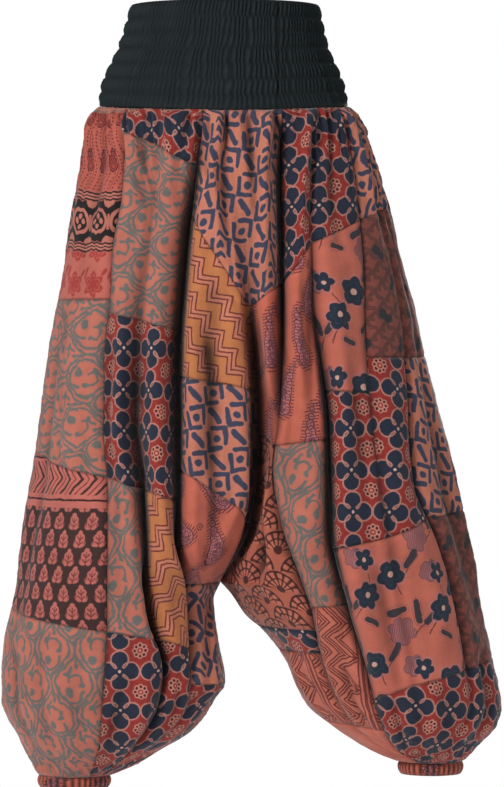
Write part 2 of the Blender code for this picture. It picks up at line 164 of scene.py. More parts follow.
# The centre-front fold's depth in millimetres, by row.
CENTRE_FOLD = ((0, 0), (3, 3), (6, 13), (8, 21), (12, 24), (14, 17), (17, 8), (19, 0))
BACK_LINES = {
    # name: share_top, share_bottom, depth_top, depth_knee, depth_bottom
    "right": {"back_side": (0.30, 0.24, 2, 12, 1), "back_mid": (0.55, 0.50, 3, 22, 1),
              "back_in": (0.78, 0.76, 2, 17, 1)},
    "left": {"back_side": (0.26, 0.27, 2, 15, 1), "back_mid": (0.52, 0.54, 3, 10, 1),
             "back_in": (0.76, 0.79, 3, 24, 1)},
}
LINES = {
    "right": ("centre_front", "fold_in", "fold_out", "seam_side", "side",
              "back_side", "back_mid", "back_in", "centre_back"),
    "left": ("centre_front", "slit", "fold_knee", "seam_mid", "seam_side", "side",
             "back_side", "back_mid", "back_in", "centre_back"),
}
CENTRE_ROWS = ((0, 144), (2, 200), (5, 394), (8, 440), (9, 460), (11, 500), (14, 670),
               (15, 690), (17, 715), (19, 748))
ROWS = {
    "right": (
        # row, fold_in, fold_out, seam_side, side, inseam below the crotch
        (0, 143, 141, 138, 130, None),
        (2, 216, 187, 168, 156, None),
        (5, 276, 270, 265, 259, None),
        (8, 395, 388, 384, 382, None),
        (9, 424, 410, 400, 392, None),
        (11, 482, 468, 460, 455, None),
        (14, 600, 592, 580, 560, None),
        (15, 640, 625, 610, 576, None),
        (17, 690, 676, 662, 650, None),
        (19, 748, 748, 745, 738, 748),
        (21, 832, 818, 806, 777, 800),
        (23, 876, 868, 862, 850, 882),
        (29, 1000, 1000, 1000, 1000, 1000),
    ),
    "left": (
        # row, slit, fold_knee, seam_mid, seam_side, side, inseam below the crotch
        (0, 142, 138, 135, 133, 130, None),
        (5, 364, 312, 281, 268, 262, None),
        (9, 474, 455, 458, 458, 455, None),
        (10, 504, 500, 504, 504, 500, None),
        (12, 570, 562, 558, 556, 552, None),
        (15, 700, 702, 686, 662, 652, None),
        (19, 756, 752, 748, 744, 740, 748),
        (20, 776, 772, 768, 764, 760, 774),
        (22, 836, 830, 822, 812, 804, 836),
        (24, 886, 895, 875, 856, 845, 882),
        (26, 930, 935, 922, 912, 905, 922),
        (29, 982, 982, 982, 982, 982, 982),
    ),
}

# The patches: cloth, the print's turn in degrees and its shift in millimetres, then
# blocks of (leg, first line, last line, first row, last row).
PATCHES = {
    "front_centre_maze": ("maze", 8, (6, 4), ("right", "centre_front", "fold_in", 0, 5),
                          ("left", "centre_front", "slit", 0, 5)),
    "right_front_side_1": ("border", 0, (0, 0), ("right", "seam_side", "side", 0, 8)),
    "right_front_side_2": ("swirl", 90, (10, 30), ("right", "seam_side", "side", 8, 15)),
    "right_front_side_3": ("lattice", 0, (0, 0), ("right", "seam_side", "side", 15, 21)),
    "right_front_side_4": ("swirl", 0, (0, 12), ("right", "seam_side", "side", 21, 29)),
    "right_front_mid_1": ("mosaic", 0, (12, 10), ("right", "fold_in", "seam_side", 0, 2)),
    "right_front_mid_2": ("swirl", 90, (22, 5), ("right", "fold_in", "seam_side", 2, 9)),
    "right_front_mid_3": ("mosaic", 2, (4, 22), ("right", "fold_in", "seam_side", 9, 15)),
    "right_front_mid_4": ("swirl", 0, (30, 6), ("right", "fold_out", "seam_side", 15, 21)),
    "right_front_mid_5": ("mosaic", 0, (20, 8), ("right", "fold_out", "seam_side", 21, 29)),
    "right_front_centre_1": ("zigzag", 8, (0, 0), ("right", "centre_front", "fold_in", 5, 11)),
    "right_front_centre_2": ("maze", -4, (12, 9), ("right", "centre_front", "fold_in", 11, 14)),
    "right_front_centre_3": ("paisley", -40, (18, 30), ("right", "centre_front", "fold_in", 14, 19)),
    "right_front_inner_1": ("zigzag", 90, (0, 0), ("right", "fold_in", "fold_out", 15, 21)),
    "right_front_inner_2": ("maze", 30, (0, 0), ("right", "centre_front", "fold_in", 19, 23)),
    "right_front_inner_3": ("mosaic", -20, (9, 3), ("right", "centre_front", "fold_in", 23, 29),
                            ("right", "fold_in", "fold_out", 21, 29)),
    "left_front_centre_1": ("paisley", 0, (0, 0), ("left", "centre_front", "fold_knee", 5, 12)),
    "left_front_centre_2": ("fan", 10, (10, 20), ("left", "centre_front", "slit", 12, 21)),
    "left_front_centre_3": ("swirl", 20, (14, 8), ("left", "slit", "fold_knee", 12, 20)),
    "left_front_inner_1": ("mosaic", 0, (0, 12), ("left", "centre_front", "slit", 21, 22)),
    "left_front_inner_2": ("geometric", 4, (0, 0), ("left", "slit", "fold_knee", 20, 26),
                           ("left", "centre_front", "slit", 22, 26)),
    "left_front_inner_3": ("plain", 0, (0, 0), ("left", "centre_front", "fold_knee", 26, 29)),
    "left_front_mid_1": ("mosaic", 0, (16, 4), ("left", "slit", "seam_mid", 0, 5)),
    "left_front_mid_2": ("flowers", 0, (10, 20), ("left", "fold_knee", "seam_mid", 5, 10)),
    "left_front_mid_3": ("mosaic", 0, (8, 18), ("left", "fold_knee", "seam_mid", 10, 15)),
    "left_front_mid_4": ("flowers", 10, (0, 0), ("left", "fold_knee", "seam_side", 15, 24)),
    "left_front_mid_5": ("mosaic", 6, (24, 2), ("left", "fold_knee", "side", 24, 29)),
    "left_front_side_1": ("maze", 20, (3, 3), ("left", "seam_mid", "side", 0, 5)),
    "left_front_side_2": ("foliage", 0, (0, 0), ("left", "seam_mid", "side", 5, 9)),
    "left_front_side_3": ("mosaic", 12, (2, 12), ("left", "seam_mid", "seam_side", 9, 15)),
    "left_front_side_4": ("maze", 12, (10, 0), ("left", "seam_side", "side", 9, 15)),
    "left_front_side_5": ("foliage", 0, (30, 0), ("left", "seam_side", "side", 15, 24)),
    "right_back_side_1": ("mosaic", 0, (5, 5), ("right", "side", "back_side", 0, 5)),
    "right_back_side_2": ("flowers", 0, (40, 0), ("right", "side", "back_side", 5, 14)),
    "right_back_side_3": ("maze", 0, (0, 0), ("right", "side", "back_side", 14, 21)),
    "right_back_side_4": ("swirl", 0, (0, 0), ("right", "side", "back_side", 21, 29)),
    "right_back_mid_1": ("swirl", 90, (0, 0), ("right", "back_side", "back_in", 0, 8)),
    "right_back_mid_2": ("mosaic", 3, (0, 10), ("right", "back_side", "back_in", 8, 15)),
    "right_back_mid_3": ("paisley", 15, (0, 0), ("right", "back_side", "back_in", 15, 21)),
    "right_back_mid_4": ("mosaic", 0, (20, 0), ("right", "back_side", "back_in", 21, 29)),
    "right_back_centre_1": ("maze", -6, (0, 0), ("right", "back_in", "centre_back", 0, 11)),
    "right_back_centre_2": ("zigzag", 0, (0, 0), ("right", "back_in", "centre_back", 11, 19)),
    "right_back_inner": ("geometric", 0, (0, 0), ("right", "back_in", "centre_back", 19, 29)),
    "left_back_side_1": ("foliage", 0, (0, 0), ("left", "side", "back_side", 0, 9)),
    "left_back_side_2": ("mosaic", 0, (9, 9), ("left", "side", "back_side", 9, 17)),
    "left_back_side_3": ("swirl", 0, (0, 20), ("left", "side", "back_side", 17, 24)),
    "left_back_side_4": ("mosaic", 0, (14, 0), ("left", "side", "back_side", 24, 29)),
    "left_back_mid_1": ("mosaic", 0, (0, 0), ("left", "back_side", "back_in", 0, 5)),
    "left_back_mid_2": ("flowers", 5, (20, 30), ("left", "back_side", "back_in", 5, 12)),
    "left_back_mid_3": ("swirl", 90, (0, 0), ("left", "back_side", "back_in", 12, 20)),
    "left_back_mid_4": ("lattice", 0, (0, 0), ("left", "back_side", "back_in", 20, 29)),
    "left_back_centre_1": ("paisley", 0, (0, 20), ("left", "back_in", "centre_back", 0, 8)),
    "left_back_centre_2": ("fan", 0, (0, 0), ("left", "back_in", "centre_back", 8, 19)),
    "left_back_inner": ("maze", 0, (5, 0), ("left", "back_in", "centre_back", 19, 29)),
}

# Creases, listed one by one: where each starts and ends, as line number and row, then how
# far it stands out (minus for a trough) and its half-width, both in millimetres.
CREASES = {
    "right": (
        # line_start, row_start, line_end, row_end, height, half_width
        (0.25, 0, 0.30, 4.5, -7, 6),
        (0.55, 0, 0.50, 6.5, 6, 9),
        (0.80, 0, 0.75, 3.5, -6, 5),
        (1.30, 0, 1.35, 5.0, -5, 6),
        (1.65, 0, 1.55, 9.0, 4, 10),
        (2.30, 0, 2.40, 7.0, -5, 9),
        (2.70, 0, 2.65, 5.0, 3, 8),
        (3.25, 0, 3.40, 8.0, -4, 10),
        (3.65, 0, 3.60, 6.0, 4, 10),
        (3.35, 8, 3.20, 18.0, 5, 16),
        (3.60, 10, 3.75, 24.0, -4, 18),
        (2.35, 7, 2.55, 16.0, 5, 12),
        (2.65, 9, 2.75, 20.0, -5, 10),
        (1.40, 8, 1.45, 18.0, 6, 12),
        (1.75, 10, 1.70, 21.0, -5, 8),
        (0.35, 6, 0.30, 13.0, 5, 12),
        (0.65, 8, 0.55, 17.0, -6, 9),
        (0.25, 13, 0.60, 19.0, 5, 9),
        (0.45, 20, 0.70, 25.5, 5, 9),
        (1.40, 21, 1.60, 27.0, -5, 8),
        (2.40, 22, 2.25, 28.0, 5, 9),
        (2.75, 23, 2.70, 28.5, -4, 8),
        (3.30, 22, 3.25, 28.5, 5, 14),
        (3.70, 22, 3.60, 28.0, -4, 14),
        (4.35, 0, 4.40, 9.0, -5, 9),
        (4.70, 0, 4.65, 14.0, 5, 12),
        (5.30, 0, 5.40, 10.0, -6, 9),
        (5.60, 0, 5.55, 16.0, 5, 12),
        (6.35, 0, 6.40, 8.0, -6, 8),
        (6.65, 0, 6.60, 13.0, 6, 12),
        (7.40, 0, 7.45, 10.0, -6, 8),
        (7.60, 6, 7.55, 17.0, 5, 10),
        (4.50, 12, 4.45, 26.0, -5, 14),
        (5.45, 12, 5.60, 25.0, 6, 14),
        (6.50, 13, 6.45, 27.0, -6, 12),
        (7.45, 18, 7.40, 27.0, 5, 12),
    ),
    "left": (
        (0.30, 0, 0.35, 4.0, -6, 5),
        (0.60, 0, 0.55, 6.0, 6, 8),
        (0.85, 0, 0.80, 3.0, -5, 5),
        (1.30, 0, 1.35, 6.0, -6, 7),
        (1.65, 0, 1.60, 4.5, 5, 8),
        (2.40, 0, 2.45, 6.0, -4, 7),
        (3.50, 0, 3.50, 7.0, 4, 6),
        (4.40, 0, 4.50, 9.0, -5, 8),
        (0.50, 6, 0.45, 13.0, 5, 10),
        (1.40, 5, 1.50, 12.0, 7, 9),
        (1.20, 8, 1.30, 14.0, -5, 7),
        (1.75, 7, 1.70, 13.0, -6, 7),
        (2.35, 6, 2.45, 13.0, 5, 12),
        (2.60, 9, 2.70, 16.0, -4, 10),
        (3.45, 9, 3.40, 18.0, 4, 14),
        (4.45, 8, 4.40, 20.0, -5, 14),
        (4.70, 12, 4.75, 24.0, 4, 14),
        (0.35, 13, 0.55, 19.0, -7, 7),
        (0.65, 14, 0.75, 20.5, 6, 9),
        (1.45, 13, 1.40, 20.0, 6, 12),
        (1.80, 17, 1.75, 24.0, -5, 8),
        (2.30, 15, 2.35, 24.0, 5, 14),
        (2.70, 17, 2.65, 26.0, -4, 12),
        (3.50, 15, 3.55, 25.0, 5, 16),
        (0.50, 22, 0.65, 27.0, 5, 9),
        (1.50, 22, 1.60, 28.0, -5, 8),
        (2.50, 24, 2.45, 28.5, -5, 8),
        (3.30, 24, 3.35, 28.5, 5, 9),
        (4.40, 23, 4.30, 28.5, -5, 12),
        (5.35, 0, 5.40, 10.0, -5, 9),
        (5.65, 0, 5.60, 15.0, 6, 12),
        (6.30, 0, 6.35, 8.0, -6, 8),
        (6.65, 0, 6.60, 12.0, 5, 12),
        (7.35, 0, 7.40, 9.0, -6, 8),
        (7.60, 0, 7.60, 16.0, 6, 12),
        (8.40, 0, 8.35, 9.0, -6, 8),
        (8.60, 6, 8.60, 17.0, 5, 10),
        (5.50, 14, 5.60, 27.0, -5, 14),
        (6.45, 12, 6.40, 25.0, 6, 14),
        (7.50, 14, 7.55, 26.0, -6, 12),
        (8.40, 17, 8.50, 27.0, 5, 12),
    ),
}


def smooth_table(rows, column, at):
    """A table's column at each drop in at, on a monotone curve through its rows."""
    drops = np.array([row[0] for row in rows], float)
    values = np.array([row[column] for row in rows], float)
    steps = np.diff(drops)
    slopes = np.diff(values) / steps
    tangents = np.zeros_like(values)
    tangents[0], tangents[-1] = slopes[0], slopes[-1]
    same_way = slopes[:-1] * slopes[1:] > 0
    near, far = steps[1:] + 2 * steps[:-1], 2 * steps[1:] + steps[:-1]
    with np.errstate(divide="ignore", invalid="ignore"):
        mean = (near + far) / (near / slopes[:-1] + far / slopes[1:])
    tangents[1:-1] = np.where(same_way, np.nan_to_num(mean), 0.0)
    at = np.clip(np.asarray(at, float), drops[0], drops[-1])
    index = np.clip(np.searchsorted(drops, at, side="right") - 1, 0, len(steps) - 1)
    span = steps[index]
    t = (at - drops[index]) / span
    start, end = values[index], values[index + 1]
    return ((2 * t**3 - 3 * t**2 + 1) * start + (t**3 - 2 * t**2 + t) * span * tangents[index]
            + (3 * t**2 - 2 * t**3) * end + (t**3 - t**2) * span * tangents[index + 1])


def ring(leg, drop):
    """The rings of one leg at drops: middle, signed half-width, half-depth, back, turn."""
    drop = np.asarray(drop, float)
    legs = RIGHT_LEG_RINGS if leg == "right" else LEFT_LEG_RINGS
    above = drop <= CROTCH_DROP

    def either(body_column, leg_column):
        """The body's column above the crotch, and the leg's below it."""
        return np.where(above, smooth_table(BODY_RINGS, body_column, drop),
                        smooth_table(legs, leg_column, drop))

    outer = either(1 if leg == "right" else 2, 1)
    inner = either(3, 2)
    turn = np.where(above, np.radians(smooth_table(BODY_RINGS, 6, drop)), np.pi)
    half_width = (outer - inner) / (1 - np.cos(turn))
    return outer - half_width, half_width, either(4, 3), either(5, 4), turn


def row_drops(leg, line, rows):
    """How far below the waist the rows cross a line, in millimetres."""
    rows = np.asarray(rows, float)
    table = ROWS[leg]
    if line.startswith("back"):
        share = BACK_LINES[leg][line][0]
        return ((1 - share) * row_drops(leg, "side", rows)
                + share * row_drops(leg, "centre_back", rows))
    if line.startswith("centre"):
        below = [row for row in table if row[-1] is not None]
        low = np.interp(rows, [row[0] for row in below], [row[-1] for row in below])
        high = np.interp(rows, *zip(*CENTRE_ROWS))
        if line == "centre_back":
            even = np.interp(rows, (0, CROTCH_ROW), (130, CROTCH_DROP))
            ends = (rows <= 0) | (rows >= CROTCH_ROW)
            high = np.where(ends, even, 0.5 * (even + high))
        return np.where(rows <= CROTCH_ROW, high, low)
    front = [name for name in LINES[leg] if not name.startswith(("centre", "back"))]
    column = 1 + front.index(line)
    return np.interp(rows, [row[0] for row in table], [row[column] for row in table])


def line_places(leg, line, rows):
    """A line at the rows: drops, angles from the side (front is plus), fold depths."""
    drop = row_drops(leg, line, rows)
    middle, half_width, _, _, turn = ring(leg, drop)
    if line.startswith("back"):
        top, bottom, depth_top, depth_knee, depth_bottom = BACK_LINES[leg][line]
        share = np.interp(rows, (0, LAST_ROW), (top, bottom))
        depth = np.interp(rows, (0, 5, 16, 23, LAST_ROW),
                          (depth_top, 0.6 * depth_knee, depth_knee, 0.6 * depth_knee, depth_bottom))
        return drop, -share * turn, depth
    if line == "side":
        return drop, np.zeros_like(drop), np.zeros_like(drop)
    if line == "centre_front":
        return drop, turn, np.interp(rows, *zip(*CENTRE_FOLD))
    if line == "centre_back":
        return drop, -turn, 0.6 * np.interp(rows, *zip(*CENTRE_FOLD))
    table = FRONT_LINES[leg][line]
    cosine = np.clip((smooth_table(table, 1, drop) - middle) / half_width, -1, 1)
    return drop, np.minimum(np.arccos(cosine), turn - 0.02), smooth_table(table, 2, drop)


def wave_noise(across, along, size, seed):
    """A soft random height, about -1 to 1, from a few slanted waves of one size."""
    pick = np.random.default_rng(seed)
    total = np.zeros(np.broadcast(across, along).shape)
    for _ in range(7):
        turn, start = pick.uniform(0, 2 * np.pi, 2)
        length = size * pick.uniform(0.7, 1.5)
        total += np.sin((across * np.cos(turn) + along * np.sin(turn)) * 2 * np.pi / length + start)
    return total / 3.5


def fine_steps(leg, spacing):
    """The fine grid's rows, the same for both legs, and columns, with each line's column."""
    whole = np.arange(LAST_ROW + 1)
    drops = np.array([row_drops(either, name, whole) for either in LINES for name in LINES[either]])
    heights = np.diff(drops, axis=1).mean(axis=0)
    rows = [np.linspace(row, row + 1, max(2, round(height / spacing)), endpoint=False)
            for row, height in enumerate(heights)]
    rows = np.concatenate(rows + [[LAST_ROW]])
    columns, line_of = [], [0]
    places = [line_places(leg, name, whole[3:24])[1] for name in LINES[leg]]
    for index, (angle, following) in enumerate(zip(places, places[1:])):
        width = 160 * np.abs(following - angle).mean()
        count = max(10, round(width / spacing))
        share = np.linspace(0, 1, count, endpoint=False)
        columns.append(index + share - 0.35 * np.sin(2 * np.pi * share) / (2 * np.pi))
        line_of.append(line_of[-1] + count)
    return rows, np.concatenate(columns + [[len(places) - 1]]), line_of


def fold_relief(rows, columns, spans, depths):
    """How far the folds along the lines move the cloth in, and the painted shade deep inside each fold."""
    index = np.minimum(columns.astype(int), len(spans) - 1)
    share = columns - index
    relief = np.zeros((len(rows), len(columns)))
    painted_slit_shade = np.zeros_like(relief)
    for side, at in ((share, index), (1 - share, index + 1)):
        away = side[None, :] * spans[index].T
        depth = depths[at].T
        slit = np.exp(-(away / FOLD_WIDTH) ** 2)
        lip = np.exp(-((away - 2.6 * FOLD_WIDTH) / (1.3 * FOLD_WIDTH)) ** 2)
        relief += 1.4 * depth * slit - 0.2 * depth * lip
        # Painted shade: near-black along the middle of each fold deeper than 3 mm.
        painted_slit_shade = np.maximum(painted_slit_shade, np.exp(-(away / 5.5) ** 2) * np.clip((depth - 3) / 9, 0, 1))
    ease = np.clip((LAST_ROW - rows) / 2, 0, 1)[:, None]
    return relief * ease, painted_slit_shade * ease


def crease_relief(leg, rows, columns, spans):
    """How far the cloth stands out, in millimetres, by the listed creases."""
    relief = np.zeros((len(rows), len(columns)))
    for line_start, row_start, line_end, row_end, height, half_width in CREASES[leg]:
        t = np.clip((rows - row_start) / (row_end - row_start), 0, 1)
        centre = line_start + (line_end - line_start) * t
        span = spans[int(line_start)]
        away = (columns[None, :] - centre[:, None]) * span[:, None]
        away = away + 2.5 * np.sin(rows * 0.9 + 7 * line_start)[:, None]
        rise = np.clip(t / 0.18, 0, 1) if row_start > 0 else np.ones_like(t)
        length = (rise * np.clip((1 - t) / 0.45, 0, 1))[:, None]
        relief += 1.5 * height * np.exp(-(away / half_width) ** 2) * length**0.8
    return relief


def gather_relief(around, below_seam, above_cuff):
    """The small gathers under the waistband and above each cuff, in millimetres."""
    drift = 3.0 * wave_noise(around, below_seam, 90, 11)
    waist = np.sin((around + drift) * 2 * np.pi / 15.5) + 0.7 * np.sin((around - drift) * 2 * np.pi / 9.3)
    reach = 42 * (1.25 + 0.75 * wave_noise(around, 0 * around, 60, 5))
    fade = np.exp(-np.clip(below_seam, 0, None) / np.clip(reach, 10, 80))
    swell = 3.5 * np.exp(-((below_seam - 22) / 18) ** 2)
    cuff = np.sin(around * 2 * np.pi / 12.5 + 1.5 * wave_noise(around, above_cuff, 50, 3))
    near_cuff = np.exp(-np.clip(above_cuff, 0, None) / 26)
    return 3.4 * waist * fade + swell + 3.0 * cuff * near_cuff


def leg_surface(leg, spacing):
    """One leg's fine surface: points, row numbers, first column of each line, and the painted shade of its
    folds and painted highlight of its ridges.
    """
    rows, columns, line_of = fine_steps(leg, spacing)
    places = [line_places(leg, name, rows) for name in LINES[leg]]
    drops, angles, depths = (np.array([place[k] for place in places]) for k in range(3))
    _, half_width, half_depth, _, _ = ring(leg, drops)
    size = 0.5 * (np.abs(half_width) + half_depth)
    spans = np.abs(np.diff(angles, axis=0)) * 0.5 * (size[1:] + size[:-1])
    index = np.minimum(columns.astype(int), len(spans) - 1)
    share = (columns - index)[:, None]
    drop = ((1 - share) * drops[index] + share * drops[index + 1]).T
    angle = ((1 - share) * angles[index] + share * angles[index + 1]).T
    middle, half_width, half_depth, back = ring(leg, drop)[:4]
    starts = np.concatenate((np.zeros((1, len(rows))), np.cumsum(spans, axis=0)))
    around = ((1 - share) * starts[index] + share * starts[index + 1]).T
    if leg == "right":
        around = -around
    lowest = row_drops(leg, "side", [LAST_ROW])[0]
    moved_in, painted_slit_shade = fold_relief(rows, columns, spans, depths)
    out = crease_relief(leg, rows, columns, spans) - moved_in
    out += gather_relief(around, drop - drop[:1], lowest - drop)
    out += 1.3 * wave_noise(around, drop, 110, 21) + 0.5 * wave_noise(around, drop, 38, 22)
    out += 0.22 * wave_noise(around, drop, 15, 23)
    joins = np.clip((drop - drop[:1]) / 10, 0, 1) * np.clip((lowest - drop) / 10, 0, 1)
    # The two legs share the centre lines above the crotch, so nothing uneven is added there.
    near_centre = np.minimum(angle.max(axis=1, keepdims=True) - angle,
                             angle - angle.min(axis=1, keepdims=True)) * 150
    quiet = np.clip(near_centre / 12, 0, 1) ** 0.7
    centre_out = -np.interp(rows, *zip(*CENTRE_FOLD))[:, None] * np.where(angle > 0, 1.0, 0.6)
    out = (out * quiet + centre_out * (1 - quiet)) * joins
    across, depth = np.cos(angle), np.sin(angle)
    normal_x, normal_y = across / half_width * quiet, -depth / half_depth
    length = np.hypot(normal_x, normal_y) + 1e-9
    x = middle + half_width * across + out * normal_x / length
    y = back - half_depth * depth + out * normal_y / length
    points = np.stack((x, y, -drop), axis=-1) * MM
    # The last value is painted shade: darker in troughs and slits, lighter on ridges.
    return points, rows, line_of, np.maximum(fold_shade(out), 1.15 * painted_slit_shade)


def fold_shade(out):
    """How deep each point lies between its neighbours: 1 in a fold, -1 on a ridge, used as painted shade in
    the folds and painted highlight on the ridges.
    """
    reach = 7
    sums = np.cumsum(np.pad(out, ((0, 0), (reach + 1, reach)), mode="edge"), axis=1)
    mean = (sums[:, 2 * reach + 1:] - sums[:, :-2 * reach - 1]) / (2 * reach + 1)
    return np.clip((mean - out) / 9, -1, 1)


def unrolled(points, centre_column):
    """Cloth coordinates in metres: across and down, measured along the surface."""
    step = np.diff(points, axis=1)
    flat = np.hypot(step[..., 0], step[..., 1])
    across = np.concatenate((np.zeros((len(points), 1)), np.cumsum(flat, axis=1)), axis=1)
    across = across - across[:, centre_column:centre_column + 1]
    level = np.zeros_like(points)
    level[:, 1:-1] = points[:, 2:] - points[:, :-2]
    level[:, 0], level[:, -1] = step[:, 0], step[:, -1]
    level[..., 2] = 0
    level /= np.maximum(np.linalg.norm(level, axis=2, keepdims=True), 1e-9)
    fall = np.diff(points, axis=0)
    aside = (fall * level[:-1]).sum(axis=2)
    straight = np.sqrt(np.maximum((fall**2).sum(axis=2) - aside**2, 0))
    down = np.concatenate((np.zeros((1, points.shape[1])), np.cumsum(straight, axis=0)))
    down = down - points[:1, :, 2]
    drift = np.concatenate(([0], np.cumsum(aside[:, centre_column])))
    return across + drift[:, None], -down


def grid_normals(points, flip):
    """Outward unit normals of a grid of points."""
    down = np.gradient(points, axis=0)
    along = np.gradient(points, axis=1)
    normals = np.cross(down, along) * (-1 if flip else 1)
    return normals / np.maximum(np.linalg.norm(normals, axis=2, keepdims=True), 1e-12)


def share_normals(legs):
    """Gives both sides of the centre lines, and of the inside leg seams, the same normals."""
    above = legs["left"]["rows"] <= CROTCH_ROW
    left, right = legs["left"]["normals"], legs["right"]["normals"]
    for column in (0, -1):
        mean = left[above, column] + right[above, column]
        mean /= np.linalg.norm(mean, axis=1, keepdims=True)
        left[above, column] = right[above, column] = mean
    for normals in (left, right):
        mean = normals[~above, 0] + normals[~above, -1]
        mean /= np.linalg.norm(mean, axis=1, keepdims=True)
        normals[~above, 0] = normals[~above, -1] = mean


def garment(spacing):
    """Both legs' surfaces, worked out once and kept for every patch."""
    if spacing not in GARMENTS:
        legs = {}
        for leg in LINES:
            points, rows, line_of, shade = leg_surface(leg, spacing)
            legs[leg] = {"points": points, "rows": rows, "line_of": line_of, "shade": shade,
                         "normals": grid_normals(points, leg == "right")}
        share_normals(legs)
        GARMENTS[spacing] = legs
    return GARMENTS[spacing]


def block_part(legs, leg, first_line, last_line, first_row, last_row):
    """A block's points, normals and fold shade in its leg's fine grid."""
    surface = legs[leg]
    names = LINES[leg]
    first, last = sorted((names.index(first_line), names.index(last_line)))
    start, stop = surface["line_of"][first], surface["line_of"][last]
    top, bottom = (int(np.argmin(np.abs(surface["rows"] - row))) for row in (first_row, last_row))
    part = np.s_[top:bottom + 1, start:stop + 1]
    return surface["points"][part], surface["normals"][part], surface["shade"][part]


def patch_arrays(legs, blocks):
    """A patch's points, normals, fold shade, cloth coordinates and faces, its blocks joined."""
    points, normals, shades, cloth, faces, known = [], [], [], [], [], {}
    for leg, *block in blocks:
        part, part_normals, part_shade = block_part(legs, leg, *block)
        count_down, count_across = part.shape[:2]
        two_legs = len({entry[0] for entry in blocks}) > 1
        across, down = unrolled(part, 0 if two_legs else count_across // 2)
        if leg == "right":
            across = -across
        index = np.zeros((count_down, count_across), int)
        for place in np.ndindex(count_down, count_across):
            key = tuple(np.round(part[place] * 2e4).astype(int))
            if key not in known:
                known[key] = len(points)
                points.append(part[place])
                normals.append(part_normals[place])
                shades.append(part_shade[place])
                cloth.append((across[place], down[place]))
            index[place] = known[key]
        quads = np.stack((index[:-1, :-1], index[1:, :-1], index[1:, 1:], index[:-1, 1:]), axis=-1)
        quads = quads.reshape(-1, 4)
        faces.append(quads if leg == "left" else quads[:, ::-1])
    return (np.array(points), np.array(normals), np.array(shades), np.array(cloth),
            np.concatenate(faces))


def border_of(faces):
    """The points on a patch's edge."""
    edges = np.concatenate([np.stack((faces[:, k], faces[:, (k + 1) % 4]), axis=1) for k in range(4)])
    edges = edges[edges[:, 0] != edges[:, 1]]
    unique, counts = np.unique(np.sort(edges, axis=1), axis=0, return_counts=True)
    return np.unique(unique[counts == 1])


def distance_to(points, targets):
    """How far each point is from the nearest target."""
    nearest = np.full(len(points), np.inf)
    for chunk in np.array_split(targets, max(1, len(targets) // 200)):
        gaps = np.linalg.norm(points[:, None, :] - chunk[None, :, :], axis=2)
        nearest = np.minimum(nearest, gaps.min(axis=1))
    return nearest


def mesh_object(name, points, faces, cloth, values):
    """A smooth-shaded object at the origin, with its cloth coordinates and point values."""
    mesh = bpy.data.meshes.new(name)
    solid = [tuple(dict.fromkeys(face)) for face in faces.tolist()]
    mesh.from_pydata(points.tolist(), [], [face for face in solid if len(face) > 2])
    layer = mesh.uv_layers.new(name="cloth")
    loops = np.zeros(len(mesh.loops), int)
    mesh.loops.foreach_get("vertex_index", loops)
    layer.uv.foreach_set("vector", cloth[loops].ravel())
    for key, value in values.items():
        mesh.attributes.new(key, "FLOAT", "POINT").data.foreach_set("value", value)
    mesh.shade_smooth()
    piece = bpy.data.objects.new(name, mesh)
    bpy.context.scene.collection.objects.link(piece)
    return piece


def give_thickness(piece, thickness):
    """Turns a sheet into a closed shell that is thick to the inside."""
    bpy.ops.object.select_all(action="DESELECT")
    piece.select_set(True)
    bpy.context.view_layer.objects.active = piece
    wall = piece.modifiers.new("Wall", "SOLIDIFY")
    wall.thickness = thickness
    wall.offset = -1
    wall.use_rim = True
    bpy.ops.object.modifier_apply(modifier=wall.name)


def make_patch(name, sizes, materials):
    """Sews one patch: its shell, its sunken seam edges, and its print's direction."""
    cloth_name, turn, shift, *blocks = PATCHES[name]
    points, normals, shade, cloth, faces = patch_arrays(garment(sizes.spacing), blocks)
    edge = distance_to(points, points[border_of(faces)])
    along = cloth[:, 0] + cloth[:, 1]
    pucker = 0.5 * np.sin(along * 2 * np.pi / 0.0085) + 0.5 * np.sin(along * 2 * np.pi / 0.0131)
    sink = 1.0 * np.exp(-(edge / 0.0025) ** 2) - 0.35 * np.exp(-((edge - 0.006) / 0.003) ** 2)
    sink += 0.28 * pucker * np.exp(-((edge - 0.004) / 0.006) ** 2) * (edge > 0)
    points = points - normals * (sink * MM)[:, None]
    angle = np.radians(turn)
    turned = cloth @ np.array(((np.cos(angle), np.sin(angle)), (-np.sin(angle), np.cos(angle))))
    turned = turned + np.array(shift) * MM
    if cloth_name in ("border", "lattice"):
        turned = turned - (turned[:, 0].mean(), turned[:, 1].max())
    # The edge value sets the painted seam shadow, and the fold value carries the painted shade of folds and
    # highlight of ridges.
    piece = mesh_object(name + "_cloth", points, faces, turned, {"edge": edge, "fold": shade})
    give_thickness(piece, sizes.thickness)
    piece.data.materials.append(materials[cloth_name])
    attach(piece, "root")
    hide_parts(name)
    return piece


def seam_ring(legs):
    """The cloth's top edge all round, as direction angles and points, in order."""
    seam = np.concatenate((legs["left"]["points"][0], legs["right"]["points"][0][1:-1]))
    angle = np.arctan2(seam[:, 1] / 0.110, (seam[:, 0] + 0.002) / 0.161)
    order = np.argsort(angle)
    return angle[order], seam[order]


